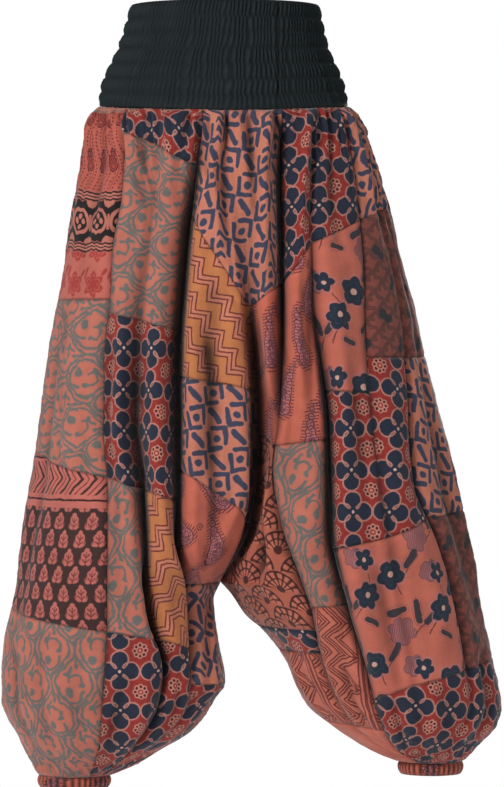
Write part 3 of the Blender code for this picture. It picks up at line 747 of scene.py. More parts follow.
def make_waistband(sizes, materials):
    """The shirred band: rows of elastic thread, with puffs and small ruffles between."""
    seam_angle, seam = seam_ring(garment(sizes.spacing))
    count = sizes.ruffles * 7
    angle = np.linspace(-np.pi, np.pi, count, endpoint=False)
    low = np.stack([np.interp(angle, seam_angle, seam[:, k], period=2 * np.pi) for k in range(3)], axis=-1)
    low_drop = -low[:, 2] / MM - 0.3
    rows = sizes.thread_rows * 6
    share = np.linspace(0, 1, rows + 1)[:, None]
    drop = share * low_drop
    even = drop * 144 / low_drop
    middle, half_width, half_depth = (smooth_table(BAND_RINGS, k, even) for k in (3, 1, 2))
    foot = [smooth_table(BAND_RINGS, k, np.full(1, 144.0)) for k in (3, 1, 2)]
    ease = np.clip((even - 112) / 32, 0, 1) ** 2
    x = middle + half_width * np.cos(angle) + ease * (low[:, 0] / MM - foot[0] - foot[1] * np.cos(angle))
    y = half_depth * np.sin(angle) + ease * (low[:, 1] / MM - foot[2] * np.sin(angle))
    around = angle * sizes.ruffles / (2 * np.pi)
    thread = share * sizes.thread_rows
    row_number = np.floor(thread * 0.9999)
    within = thread - row_number
    pick = np.random.default_rng(4)
    shifts = np.cumsum(pick.uniform(-0.35, 0.35, sizes.thread_rows + 1))
    slants = pick.uniform(0.1, 0.7, sizes.thread_rows + 1)
    row_index = row_number.astype(int)
    wander = 0.55 * wave_noise(around, thread, 9, 31) + 0.3 * wave_noise(around, thread, 3.5, 32)
    phase = around + shifts[row_index] + slants[row_index] * (within - 0.5) + wander
    ridge = 1 - 2 * np.abs(np.sin(np.pi * phase)) ** 0.8
    swell = np.sin(np.pi * within)
    height = 1.7 * swell**0.7 + ridge * (0.75 + 0.9 * swell)
    height *= 1 + 0.25 * wave_noise(around, thread * 3, 14, 33)
    to_seam = (x - 68) / 1.0
    front = (y < 0)
    height -= front * 1.6 * np.exp(-(to_seam / 1.6) ** 2)
    height += front * 0.9 * np.exp(-((np.abs(to_seam) - 4.0) / 2.2) ** 2)
    height *= np.clip((1 - share) * 12, 0, 1)
    normal = np.stack((np.cos(angle) / half_width, np.sin(angle) / half_depth), axis=-1)
    normal /= np.linalg.norm(normal, axis=-1, keepdims=True)
    points = np.stack((x + height * normal[..., 0], y + height * normal[..., 1], -drop), axis=-1) * MM
    # Painted shade: darker where the puffs pinch in, in the ruffles' troughs and along the front seam,
    # lighter on the ridges.
    shade = 0.7 * (0.55 - swell) - 0.75 * ridge * (0.5 + 0.5 * swell)
    shade += 0.9 * front * np.exp(-(to_seam / 1.8) ** 2)
    shade = np.clip(shade, -1, 1)
    closed_tube("waistband_cloth", points, shade, sizes, materials["band"], "waistband")


def closed_tube(name, points, shade, sizes, material, node):
    """A ring of cloth from a grid of points, top row first, as one sheet."""
    down, round_count = points.shape[:2]
    index = np.arange(down * round_count).reshape(down, round_count)
    beside = np.roll(index, -1, axis=1)
    faces = np.stack((index[:-1], index[1:], beside[1:], beside[:-1]), axis=-1).reshape(-1, 4)
    step = np.linalg.norm(np.diff(points, axis=1, append=points[:, :1]), axis=2)
    across = np.cumsum(step, axis=1)
    cloth = np.stack((across, points[..., 2]), axis=-1).reshape(-1, 2)
    inside = np.full(down * round_count, 0.01)
    piece = mesh_object(name, points.reshape(-1, 3), faces, cloth, {"edge": inside, "fold": shade.ravel()})
    give_thickness(piece, sizes.thickness)
    piece.data.materials.append(material)
    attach(piece, "root")
    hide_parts(node)
    return piece


def make_cuff(leg, sizes, materials):
    """The elastic casing at one ankle, with its small gathers."""
    top = garment(sizes.spacing)[leg]["points"][-1][:-1]
    if leg == "right":
        top = top[::-1]
    centre = top.mean(axis=0)
    share = np.linspace(0, 1, 9)[:, None]
    turn = np.arctan2(top[:, 1] - centre[1], top[:, 0] - centre[0])
    ruffle = np.sin(turn * 34 + 1.2 * np.sin(turn * 5)) * np.sin(np.pi * share) ** 0.6
    puff = 1.5 * np.sin(np.pi * share) - 2.0 * share**3 - 1.2 * (1 - share) ** 4
    out = (puff + 0.9 * ruffle)[..., None] * MM
    flat = (top - centre) * (1, 1, 0)
    flat = flat / np.linalg.norm(flat, axis=1, keepdims=True)
    fall = (CUFF_HEIGHT + 2.3) * share - 2.0
    points = top + out * flat - np.array((0, 0, 1)) * fall[..., None] * MM
    # Painted shade: darker in the ruffles' troughs, and the cuff darker overall.
    shade = 0.55 - 0.45 * ruffle
    closed_tube(leg + "_cuff_cloth", points, shade, sizes, materials["paisley"], leg + "_cuff")


def colour(code):
    """An sRGB hex code as linear colour."""
    shares = [int(code[k:k + 2], 16) / 255 for k in (1, 3, 5)]
    return tuple(s / 12.92 if s <= 0.04045 else ((s + 0.055) / 1.055) ** 2.4 for s in shares) + (1,)


def add_node(tree, kind, inputs=(), out=0, **settings):
    """Adds one node with its settings and its values or links, and gives one output."""
    node = tree.nodes.new(kind)
    for setting, value in settings.items():
        setattr(node, setting, value)
    for key, value in (inputs.items() if isinstance(inputs, dict) else enumerate(inputs)):
        if isinstance(value, bpy.types.NodeSocket):
            tree.links.new(value, node.inputs[key])
        elif value is not None:
            node.inputs[key].default_value = value
    return node.outputs[out] if node.outputs else None


def start_material(name):
    """An empty node material."""
    material = bpy.data.materials.new(name)
    material.use_nodes = True
    material.node_tree.nodes.clear()
    return material, material.node_tree


def cloth_place(tree, wobble=1.2):
    """The place on the cloth in millimetres, unsteady as a hand-cut block is."""
    metres = add_node(tree, "ShaderNodeUVMap", uv_map="cloth")
    place = add_node(tree, VECTOR, {0: metres, "Scale": 1000.0}, operation="SCALE")
    unsteady = add_node(tree, NOISE, {"Vector": place, "Scale": 0.05, "Detail": 2.0}, 1)
    shift = add_node(tree, VECTOR, (unsteady, (0.5, 0.5, 0.5)), operation="SUBTRACT")
    fine = add_node(tree, NOISE, {"Vector": place, "Scale": 0.4, "Detail": 1.0}, 1)
    fine = add_node(tree, VECTOR, (fine, (0.5, 0.5, 0.5)), operation="SUBTRACT")
    fine = add_node(tree, VECTOR, {0: fine, "Scale": 1.2}, operation="SCALE")
    shift = add_node(tree, VECTOR, {0: shift, "Scale": wobble * 4.0}, operation="SCALE")
    moved = add_node(tree, VECTOR, (place, shift), operation="ADD")
    moved = add_node(tree, VECTOR, (moved, fine), operation="ADD")
    return add_node(tree, VECTOR, (moved, (1, 1, 0)), operation="MULTIPLY")


def repeat(tree, place, width, height, shift=(0, 0), turn=0):
    """The place inside one repeat of a pattern, measured from the repeat's middle."""
    if turn:
        place = add_node(tree, "ShaderNodeVectorRotate", {"Vector": place, "Angle": np.radians(turn)},
                         rotation_type="Z_AXIS")
    if shift != (0, 0):
        place = add_node(tree, VECTOR, (place, (shift[0], shift[1], 0)), operation="ADD")
    high, low = (width / 2, height / 2, 1), (-width / 2, -height / 2, -1)
    return add_node(tree, VECTOR, (place, high, low), operation="WRAP")


def join(tree, first, second):
    """The union of two shapes, each given by its distance; None is no shape."""
    if first is None:
        return second
    return add_node(tree, MATH, (first, second), operation="MINIMUM")


def figure(tree, place, dots=(), strokes=(), arcs=()):
    """The distance in millimetres to a figure of dots, strokes and arcs from a short table."""
    shape = None
    for x, y, radius in dots:
        far = add_node(tree, VECTOR, (place, (x, y, 0)), "Value", operation="DISTANCE")
        shape = join(tree, shape, add_node(tree, MATH, (far, radius), operation="SUBTRACT"))
    for x, y, end_x, end_y, half_width in strokes:
        run = np.array((end_x - x, end_y - y, 0.0))
        from_start = add_node(tree, VECTOR, (place, (x, y, 0)), operation="SUBTRACT")
        share = add_node(tree, VECTOR, (from_start, run / (run @ run)), "Value", operation="DOT_PRODUCT")
        share = add_node(tree, MATH, (share, 1.0), operation="MULTIPLY", use_clamp=True)
        nearest = add_node(tree, VECTOR, {0: run, "Scale": share}, operation="SCALE")
        far = add_node(tree, VECTOR, (from_start, nearest), "Value", operation="DISTANCE")
        shape = join(tree, shape, add_node(tree, MATH, (far, half_width), operation="SUBTRACT"))
    for x, y, radius, half_width, towards in arcs:
        from_middle = add_node(tree, VECTOR, (place, (x, y, 0)), operation="SUBTRACT")
        far = add_node(tree, VECTOR, (from_middle,), "Value", operation="LENGTH")
        ring_off = add_node(tree, MATH, (far, radius), operation="SUBTRACT")
        ring_off = add_node(tree, MATH, (ring_off,), operation="ABSOLUTE")
        ring_off = add_node(tree, MATH, (ring_off, half_width), operation="SUBTRACT")
        if towards is not None:
            facing = (-np.cos(np.radians(towards)), -np.sin(np.radians(towards)), 0)
            behind = add_node(tree, VECTOR, (from_middle, facing), "Value", operation="DOT_PRODUCT")
            ring_off = add_node(tree, MATH, (ring_off, behind), operation="MAXIMUM")
        shape = join(tree, shape, ring_off)
    return shape


def rosette(tree, place, middle, radius, petals, depth, turn=0, sharp=False):
    """The distance to a flower or star: a disc whose edge swings in and out by depth."""
    here = add_node(tree, VECTOR, (place, (middle[0], middle[1], 0)), operation="SUBTRACT")
    apart = add_node(tree, "ShaderNodeSeparateXYZ", (here,)).node
    angle = add_node(tree, MATH, (apart.outputs[1], apart.outputs[0]), operation="ARCTAN2")
    start = np.radians(turn) * petals / 2
    swing = add_node(tree, MATH, (angle, petals / 2, start), operation="MULTIPLY_ADD")
    swing = add_node(tree, MATH, (swing,), operation="COSINE")
    swing = add_node(tree, MATH, (swing,), operation="ABSOLUTE")
    if sharp:
        swing = add_node(tree, MATH, (swing, 2.2), operation="POWER")
    edge = add_node(tree, MATH, (swing, depth, radius - depth), operation="MULTIPLY_ADD")
    far = add_node(tree, VECTOR, (here,), "Value", operation="LENGTH")
    return add_node(tree, MATH, (far, edge), operation="SUBTRACT")


def outline(tree, shape, offset, half_width):
    """The distance to a line that runs round a shape at an offset."""
    away = add_node(tree, MATH, (shape, offset), operation="SUBTRACT")
    away = add_node(tree, MATH, (away,), operation="ABSOLUTE")
    return add_node(tree, MATH, (away, half_width), operation="SUBTRACT")


def paint(tree, ground, shape, shade, strength=1.0, blur=0.45):
    """Prints a shape over the ground in one colour."""
    cover = add_node(tree, "ShaderNodeMapRange", {"Value": shape, "From Min": blur, "From Max": -blur,
                                                  "To Min": 0.0, "To Max": strength})
    shade = colour(shade) if isinstance(shade, str) else shade
    return add_node(tree, "ShaderNodeMix", {"Factor": cover, 6: ground, 7: shade}, 2, data_type="RGBA")


def finish_cloth(material, tree, printed, roughness=0.82, seam_shadow_strength=0.3):
    """Wears the printed colour a little, paints shade along the seams and in the folds and a little painted
    highlight on the ridges, adds the weave and the finish, and ends the material.
    """
    metres = add_node(tree, "ShaderNodeUVMap", uv_map="cloth")
    fade = add_node(tree, NOISE, {"Vector": metres, "Scale": 22.0, "Detail": 4.0, "Roughness": 0.6})
    fade = add_node(tree, "ShaderNodeMapRange", {"Value": fade, "From Min": 0.3, "From Max": 0.7,
                                                 "To Min": 0.76, "To Max": 0.98})
    fine = add_node(tree, NOISE, {"Vector": metres, "Scale": 600.0, "Detail": 3.0, "Roughness": 0.7})
    fine_fade = add_node(tree, "ShaderNodeMapRange", {"Value": fine, "From Min": 0.3, "From Max": 0.7,
                                                      "To Min": 0.90, "To Max": 1.08})
    fade = add_node(tree, MATH, (fade, fine_fade), operation="MULTIPLY")
    # Painted shadow along the seams: the colour darkens towards each patch's edge.
    edge = add_node(tree, "ShaderNodeAttribute", out="Fac", attribute_name="edge")
    seam = add_node(tree, "ShaderNodeMapRange", {"Value": edge, "From Min": 0.0, "From Max": 0.0032,
                                                 "To Min": 1 - seam_shadow_strength, "To Max": 1.0},
                    interpolation_type="SMOOTHSTEP")
    fade = add_node(tree, MATH, (fade, seam), operation="MULTIPLY")
    # Painted shade and highlight: near-black deep in the folds, a little lighter on the ridges.
    fold = add_node(tree, "ShaderNodeAttribute", out="Fac", attribute_name="fold")
    fold = add_node(tree, "ShaderNodeMapRange", {"Value": fold, "From Min": -0.5, "From Max": 1.05,
                                                 "To Min": 1.12, "To Max": 0.05})
    fade = add_node(tree, MATH, (fade, fold), operation="MULTIPLY")
    worn_and_shaded = add_node(tree, VECTOR, {0: printed, "Scale": fade}, operation="SCALE")
    crinkle = add_node(tree, NOISE, {"Vector": metres, "Scale": 90.0, "Detail": 3.0, "Distortion": 0.6})
    weave = add_node(tree, MATH, (fine, 0.12, crinkle), operation="MULTIPLY_ADD")
    bump = add_node(tree, "ShaderNodeBump", {"Strength": 0.35, "Distance": 0.0022, "Height": weave})
    shader = add_node(tree, "ShaderNodeBsdfPrincipled", {
        "Base Color": worn_and_shaded, "Roughness": roughness, "Normal": bump, "IOR": 1.45,
        "Specular IOR Level": 0.25, "Sheen Weight": 0.12, "Sheen Roughness": 0.5})
    add_node(tree, "ShaderNodeOutputMaterial", (shader,))
    return material


def print_mosaic(name):
    """Block-printed cotton: rings of eight navy discs round small looped flowers on red."""
    material, tree = start_material(name)
    place = cloth_place(tree, 0.9)
    corner = repeat(tree, place, 53, 53)
    centre = repeat(tree, place, 53, 53, (26.5, 26.5))
    folded = add_node(tree, VECTOR, (corner,), operation="ABSOLUTE")
    beside = figure(tree, folded, dots=((14.4, 0, 10.7),))
    above = figure(tree, folded, dots=((0, 14.4, 10.7),))
    sector = repeat_round(tree, centre, 8)
    loops = outline(tree, figure(tree, sector, dots=((7.0, 0, 2.7),)), 0, 0.7)
    ground = add_node(tree, "ShaderNodeRGB")
    ground.default_value = colour("#9c322b")
    stars = rosette(tree, centre, (0, 0), 15.5, 8, 3.5, sharp=True)
    printed = paint(tree, ground, outline(tree, stars, 0, 0.5), "#7d2424", 0.8)
    printed = paint(tree, printed, loops, "#c8917f", 0.95)
    printed = paint(tree, printed, figure(tree, sector, dots=((7.2, 0, 1.5),)), "#3c1a24")
    printed = paint(tree, printed, figure(tree, centre, dots=((0, 0, 1.6),)), "#c8917f")
    printed = paint(tree, printed, join(tree, beside, above), "#232a3d")
    for disc in (beside, above):
        printed = paint(tree, printed, outline(tree, disc, 0.9, 0.95), "#bf8478", 0.92)
    joint = figure(tree, corner, dots=((0, 0, 5.6),))
    printed = paint(tree, printed, joint, "#232a3d")
    printed = paint(tree, printed, figure(tree, corner, dots=((0, 0, 1.9),)), "#d8b3a4")
    return finish_cloth(material, tree, printed)


def repeat_round(tree, place, count):
    """The place turned into the nearest of the sectors round a middle."""
    apart = add_node(tree, "ShaderNodeSeparateXYZ", (place,)).node
    angle = add_node(tree, MATH, (apart.outputs[1], apart.outputs[0]), operation="ARCTAN2")
    half = np.pi / count
    angle = add_node(tree, MATH, (angle, half, -half), operation="WRAP")
    far = add_node(tree, VECTOR, (place,), "Value", operation="LENGTH")
    x = add_node(tree, MATH, (add_node(tree, MATH, (angle,), operation="COSINE"), far),
                 operation="MULTIPLY")
    y = add_node(tree, MATH, (add_node(tree, MATH, (angle,), operation="SINE"), far),
                 operation="MULTIPLY")
    return add_node(tree, "ShaderNodeCombineXYZ", (x, y))


def print_maze(name):
    """Block-printed cotton: slate hooks, dots and dashes on orange-salmon."""
    material, tree = start_material(name)
    place = cloth_place(tree, 1.5)
    shape = None
    for shift in ((0, 0), (29, 29)):
        square = repeat(tree, place, 58, 58, shift)
        hooks = figure(tree, square, dots=((0, 0, 5.0),), strokes=(
            (-12, 7, -11, -13, 3.2), (-11, -13, 5, -12, 3.2), (-5, 13, 12, 13, 3.2), (12, 13, 12, -6, 3.2)))
        other = repeat(tree, place, 58, 58, (shift[0] + 29, shift[1]))
        dash = figure(tree, other, strokes=((-6, 7, 6, -7, 4.0),))
        shape = join(tree, shape, join(tree, hooks, dash))
    ground = add_node(tree, "ShaderNodeRGB")
    ground.default_value = colour("#cf7c62")
    printed = paint(tree, ground, shape, "#c98f8e", 0.75, blur=2.6)
    printed = paint(tree, printed, shape, "#303d55", 0.96, 0.6)
    return finish_cloth(material, tree, printed)


def print_zigzag(name):
    """Block-printed cotton: groups of three thin maroon stair-step lines on ochre."""
    material, tree = start_material(name)
    place = cloth_place(tree, 1.0)
    slanted = add_node(tree, "ShaderNodeVectorRotate", {"Vector": place, "Angle": np.pi / 4},
                       rotation_type="Z_AXIS")
    apart = add_node(tree, "ShaderNodeSeparateXYZ", (slanted,)).node
    stair = add_node(tree, MATH, (apart.outputs[0], 15.0), operation="PINGPONG")
    level = add_node(tree, MATH, (apart.outputs[1], stair), operation="SUBTRACT")
    level = add_node(tree, MATH, (level, 17.0, -17.0), operation="WRAP")
    ground = add_node(tree, "ShaderNodeRGB")
    ground.default_value = colour("#c87b4c")
    printed = paint(tree, ground, outline(tree, level, 0.0, 8.6), "#d08069", 0.8, 0.8)
    for offset in (-8.0, 0.0, 8.0):
        printed = paint(tree, printed, outline(tree, level, offset, 1.45), "#6b2826", 0.92, 0.5)
    return finish_cloth(material, tree, printed)


def print_swirl(name):
    """Block-printed cotton: soft double grey-teal scrolls, hooks and discs on salmon."""
    material, tree = start_material(name)
    place = cloth_place(tree, 3.4)
    shape = None
    for shift in ((0, 0), (31, 43)):
        cell = repeat(tree, place, 62, 86, shift)
        scroll = figure(tree, cell,
                        dots=((-7, -13, 5.8), (9, -1, 3.8), (-9, 12, 4.0), (4, 22, 3.0)),
                        strokes=((9, -1, 10, 9, 1.9), (-9, 12, -4, 21, 1.8), (4, 22, 1, 32, 1.7),
                                 (0, -36, 3, -29, 1.9)),
                        arcs=((-2, -12, 13.5, 1.9, 285), (1, 5, 8.5, 1.7, 120), (-2, -12, 19.5, 1.5, 250)))
        shape = join(tree, shape, scroll)
    cell = repeat(tree, place, 62, 86)
    apart = add_node(tree, "ShaderNodeSeparateXYZ", (cell,)).node
    side = add_node(tree, MATH, (apart.outputs[0],), operation="ABSOLUTE")
    swing = add_node(tree, MATH, (apart.outputs[1], 2 * np.pi / 86), operation="MULTIPLY")
    swing = add_node(tree, MATH, (swing,), operation="COSINE")
    swing = add_node(tree, MATH, (swing, -12.5, -15.5), operation="MULTIPLY_ADD")
    ogee = add_node(tree, MATH, (side, swing), operation="ADD")
    for offset in (-3.4, 3.4):
        shape = join(tree, shape, outline(tree, ogee, offset, 1.9))
    ground = add_node(tree, "ShaderNodeRGB")
    ground.default_value = colour("#c4705d")
    printed = paint(tree, ground, shape, "#a8716b", 0.7, 2.2)
    printed = paint(tree, printed, shape, "#646a66", 0.92, 0.9)
    return finish_cloth(material, tree, printed)


def print_border(name):
    """Block-printed cotton: dotted paisley, ringed flowers on black, and red damask."""
    material, tree = start_material(name)
    place = cloth_place(tree, 0.9)
    apart = add_node(tree, "ShaderNodeSeparateXYZ", (place,)).node
    drop = add_node(tree, MATH, (apart.outputs[1], -1.0), operation="MULTIPLY")
    ground = add_node(tree, "ShaderNodeRGB")
    ground.default_value = colour("#bd5f50")
    sway = add_node(tree, MATH, (apart.outputs[1], 2 * np.pi / 70), operation="MULTIPLY")
    sway = add_node(tree, MATH, (sway,), operation="SINE")
    sway = add_node(tree, MATH, (sway, 6.0, apart.outputs[0]), operation="MULTIPLY_ADD")
    bent = add_node(tree, "ShaderNodeCombineXYZ", (sway, apart.outputs[1]))
    dots = figure(tree, repeat(tree, bent, 8, 4.6), dots=((0, 0, 1.3),))
    lines = outline(tree, add_node(tree, MATH, (sway, 12.0, -12.0), operation="WRAP"), 4, 0.7)
    leaf = figure(tree, repeat(tree, bent, 24, 58, (4, 20)),
                  dots=((0, -8, 6.5), (1, 0, 5.0), (4, 8, 3.4), (7, 13, 2.2)))
    printed = paint(tree, ground, dots, "#6d2328", 0.9)
    printed = paint(tree, printed, lines, "#7c2c2c", 0.8)
    printed = paint(tree, printed, leaf, "#a3443c", 0.9)
    printed = paint(tree, printed, outline(tree, leaf, 0, 0.8), "#4f1b20", 0.95)
    printed = paint(tree, printed, outline(tree, leaf, -3, 0.6), "#4f1b20", 0.9)
    top = add_node(tree, MATH, (drop, 15.0), operation="SUBTRACT")
    smudge = figure(tree, repeat(tree, place, 21, 17), dots=((0, 0, 5.0), (6, 4, 2.5)))
    printed = paint(tree, printed, top, "#b77463")
    smudge = add_node(tree, MATH, (smudge, top), operation="MAXIMUM")
    printed = paint(tree, printed, smudge, "#66615d", 0.9, 1.0)
    lower = add_node(tree, MATH, (drop, -1.0, 196.0), operation="MULTIPLY_ADD")
    printed = paint(tree, printed, lower, "#c4685a")
    bloom = repeat(tree, place, 40, 46, (8, 10))
    folded = add_node(tree, "ShaderNodeVectorRotate", {"Vector": bloom, "Angle": 0.4},
                      rotation_type="Z_AXIS")
    damask = rosette(tree, folded, (0, 0), 17, 6, 7)
    sprigs = figure(tree, bloom, strokes=((14, 14, 18, 19, 2.6), (-17, 10, -14, 20, 2.4)))
    damask = join(tree, damask, sprigs)
    hem_damask = add_node(tree, MATH, (damask, lower), operation="MAXIMUM")
    printed = paint(tree, printed, hem_damask, "#a32c2b", 0.85, 1.2)
    ringed = outline(tree, damask, -5.0, 0.9)
    ringed = add_node(tree, MATH, (ringed, lower), operation="MAXIMUM")
    printed = paint(tree, printed, ringed, "#c86a5c", 0.7, 0.8)
    middle = outline(tree, drop, 158, 27)
    printed = paint(tree, printed, middle, "#1c1416")
    medal = repeat(tree, place, 37, 400, (8, 158))
    petals = figure(tree, medal, dots=((6.6, 0, 3.6), (-6.6, 0, 3.6), (0, 6.6, 3.6), (0, -6.6, 3.6)))
    between = repeat(tree, place, 37, 400, (26.5, 158))
    halves = add_node(tree, VECTOR, (between,), operation="ABSOLUTE")
    halves = figure(tree, halves, dots=((0, 27, 8.5),), strokes=((0, 0, 0, 9, 1.6),))
    rings = join(tree, outline(tree, figure(tree, medal, dots=((0, 0, 15.0),)), 0, 2.3), halves)
    rings = join(tree, rings, petals)
    printed = paint(tree, printed, add_node(tree, MATH, (rings, middle), operation="MAXIMUM"), "#bf7262")
    for at in (125, 191):
        for half, shade in ((6.5, "#bd6a5c"), (5.6, "#2b1718"), (3.2, "#c07464"), (0.8, "#2b1718")):
            printed = paint(tree, printed, outline(tree, drop, at, half), shade)
    return finish_cloth(material, tree, printed)


def print_lattice(name):
    """Block-printed cotton: a band of chevrons over a brown network of leaf buds."""
    material, tree = start_material(name)
    place = cloth_place(tree, 1.2)
    apart = add_node(tree, "ShaderNodeSeparateXYZ", (place,)).node
    drop = add_node(tree, MATH, (apart.outputs[1], -1.0), operation="MULTIPLY")
    buds, veins = None, None
    for shift in ((0, 0), (13, 23)):
        cell = repeat(tree, place, 26, 46, shift)
        side = add_node(tree, "ShaderNodeSeparateXYZ", (cell,)).node
        across = add_node(tree, MATH, (side.outputs[0],), operation="ABSOLUTE")
        folded = add_node(tree, "ShaderNodeCombineXYZ", (across, side.outputs[1]))
        buds = join(tree, buds, figure(tree, folded, dots=((3.2, -4, 5.6), (2.2, 3, 5.0), (0, 9, 3.4))))
        veins = join(tree, veins, figure(tree, folded, strokes=(
            (0, -9, 0, 6, 0.7), (0.5, -6, 5, -2, 0.8), (0.5, 0, 4, 4, 0.8), (7.4, -5, 7.4, -1, 0.6))))
    ground = add_node(tree, "ShaderNodeRGB")
    ground.default_value = colour("#402624")
    printed = paint(tree, ground, buds, "#c06a60", 0.97, 0.6)
    printed = paint(tree, printed, veins, "#6b2428", 0.9, 0.5)
    upper = add_node(tree, MATH, (drop, 74.0), operation="SUBTRACT")
    printed = paint(tree, printed, upper, "#c56c60")
    band = outline(tree, drop, 36, 21)
    rise = add_node(tree, MATH, (drop, 36.0), operation="SUBTRACT")
    rise = add_node(tree, MATH, (rise,), operation="ABSOLUTE")
    slope = add_node(tree, MATH, (rise, 0.9, apart.outputs[0]), operation="MULTIPLY_ADD")
    for shift, half, shade in ((0.0, 2.3, "#33201d"), (9.5, 1.0, "#7b2427")):
        wrapped = add_node(tree, MATH, (slope, shift), operation="ADD")
        wrapped = add_node(tree, MATH, (wrapped, 9.5, -9.5), operation="WRAP")
        stroke = add_node(tree, MATH, (outline(tree, wrapped, 0, half), band), operation="MAXIMUM")
        printed = paint(tree, printed, stroke, shade, 0.95)
    for at in (10, 64):
        printed = paint(tree, printed, outline(tree, drop, at, 1.3), "#3a1a1a")
    return finish_cloth(material, tree, printed)


def print_paisley(name):
    """Block-printed cotton: feathery purple-maroon paisleys on salmon."""
    material, tree = start_material(name)
    place = cloth_place(tree, 1.6)
    ground = add_node(tree, "ShaderNodeRGB")
    ground.default_value = colour("#cc6a55")
    printed = ground
    for shift, turn in (((0, 0), 14), ((36, 62), -8)):
        cell = repeat(tree, place, 72, 124, shift)
        cell = add_node(tree, "ShaderNodeVectorRotate",
                        {"Vector": cell, "Angle": np.radians(turn)}, rotation_type="Z_AXIS")
        body = figure(tree, cell, dots=((0, -26, 12.5), (-1, -16, 11.5), (-1, -6, 9.5), (0, 4, 7.6),
                                        (2, 14, 6.0), (5, 23, 4.8), (10, 31, 3.6), (16, 36, 2.6)))
        apart = add_node(tree, "ShaderNodeSeparateXYZ", (cell,)).node
        ticks = add_node(tree, MATH, (apart.outputs[1], 1.9, -1.9), operation="WRAP")
        ticks = outline(tree, ticks, 0, 0.75)
        fringe = add_node(tree, MATH, (ticks, outline(tree, body, 3.0, 2.4)), operation="MAXIMUM")
        inner = add_node(tree, MATH, (ticks, outline(tree, body, -3.4, 1.2)), operation="MAXIMUM")
        printed = paint(tree, printed, body, "#bf7577", 0.8)
        printed = paint(tree, printed, fringe, "#5c2638", 0.9)
        printed = paint(tree, printed, inner, "#4a2038", 0.9)
        printed = paint(tree, printed, outline(tree, body, -0.6, 0.8), "#4a1f33", 0.95)
        printed = paint(tree, printed, outline(tree, body, -5.8, 0.6), "#4a1f33", 0.9)
        speckle = add_node(tree, "ShaderNodeTexVoronoi", {"Vector": cell, "Scale": 0.23})
        curls = add_node(tree, MATH, (speckle, 4.3), operation="MULTIPLY")
        curls = outline(tree, curls, 1.7, 0.55)
        deep = add_node(tree, MATH, (body, 6.6), operation="ADD")
        curls = add_node(tree, MATH, (curls, deep), operation="MAXIMUM")
        printed = paint(tree, printed, curls, "#35203c", 0.95)
    apart = repeat(tree, place, 72, 124, (8, 92))
    rings = figure(tree, apart, dots=((0, 0, 1.6),), arcs=((0, 0, 4.4, 0.7, None),))
    printed = paint(tree, printed, rings, "#5c2638", 0.9)
    return finish_cloth(material, tree, printed)


def print_fan(name):
    """Block-printed cotton: ribbed scallop fans in maroon-brown on salmon."""
    material, tree = start_material(name)
    place = cloth_place(tree, 1.2)
    ground = add_node(tree, "ShaderNodeRGB")
    ground.default_value = colour("#b9644f")
    printed = ground
    for shift in ((0, 0), (31, 26)):
        cell = repeat(tree, place, 62, 52, shift)
        centre = add_node(tree, VECTOR, (cell, (0, 21, 0)), operation="ADD")
        apart = add_node(tree, "ShaderNodeSeparateXYZ", (centre,)).node
        angle = add_node(tree, MATH, (apart.outputs[0], apart.outputs[1]), operation="ARCTAN2")
        ribs = add_node(tree, MATH, (angle, 15.0), operation="MULTIPLY")
        ribs = add_node(tree, MATH, (ribs,), operation="SINE")
        ribs = add_node(tree, MATH, (ribs, 1.8, 0.5), operation="MULTIPLY_ADD")
        fan = figure(tree, centre, dots=((0, 0, 27.0),))
        below = add_node(tree, MATH, (apart.outputs[1], -1.0, 2.0), operation="MULTIPLY_ADD")
        fan = add_node(tree, MATH, (fan, below), operation="MAXIMUM")
        ribs = add_node(tree, MATH, (ribs, fan), operation="MAXIMUM")
        printed = paint(tree, printed, fan, "#c4705b")
        printed = paint(tree, printed, ribs, "#552422", 0.95)
        rims = figure(tree, centre, dots=((0, 0, 27.0),))
        for offset, half in ((-1.0, 1.3), (-10.0, 1.0)):
            rim = add_node(tree, MATH, (outline(tree, rims, offset, half), below), operation="MAXIMUM")
            printed = paint(tree, printed, rim, "#3f1a1b", 0.95)
        printed = paint(tree, printed, figure(tree, centre, dots=((0, 3, 5.5),)), "#48201f", 0.95)
    return finish_cloth(material, tree, printed)

def print_geometric(name):
    """Block-printed cotton: nested maroon triangles between upright double lines."""
    material, tree = start_material(name)
    place = cloth_place(tree, 1.2)
    cell = repeat(tree, place, 64, 44)
    folded = add_node(tree, VECTOR, (cell,), operation="ABSOLUTE")
    apart = add_node(tree, "ShaderNodeSeparateXYZ", (cell,)).node
    side = add_node(tree, "ShaderNodeSeparateXYZ", (folded,)).node
    slope = add_node(tree, MATH, (side.outputs[1], 1.15, apart.outputs[0]), operation="MULTIPLY_ADD")
    inside = add_node(tree, MATH, (side.outputs[0], 25.0), operation="SUBTRACT")
    nested = None
    for offset in (-18.0, -12.5, -7.0, 4.0, 9.5, 15.0, 24.0, 29.5):
        line = outline(tree, slope, offset, 1.55)
        nested = join(tree, nested, add_node(tree, MATH, (line, inside), operation="MAXIMUM"))
    uprights = figure(tree, folded, strokes=((26, -40, 26, 40, 1.1), (31, -40, 31, 40, 1.1)))
    crosses = figure(tree, cell, strokes=((20, -5, 20, 5, 1.1), (15, 0, 25, 0, 1.1)))
    ground = add_node(tree, "ShaderNodeRGB")
    ground.default_value = colour("#c86e5a")
    printed = paint(tree, ground, nested, "#5f2424", 0.92)
    printed = paint(tree, printed, uprights, "#6a2a2b", 0.9)
    printed = paint(tree, printed, crosses, "#6a2a2b", 0.9)
    return finish_cloth(material, tree, printed)


def print_plain(name):
    """Dyed cotton: plain salmon with a little unevenness."""
    material, tree = start_material(name)
    ground = add_node(tree, "ShaderNodeRGB")
    ground.default_value = colour("#cc6f5b")
    return finish_cloth(material, tree, ground)


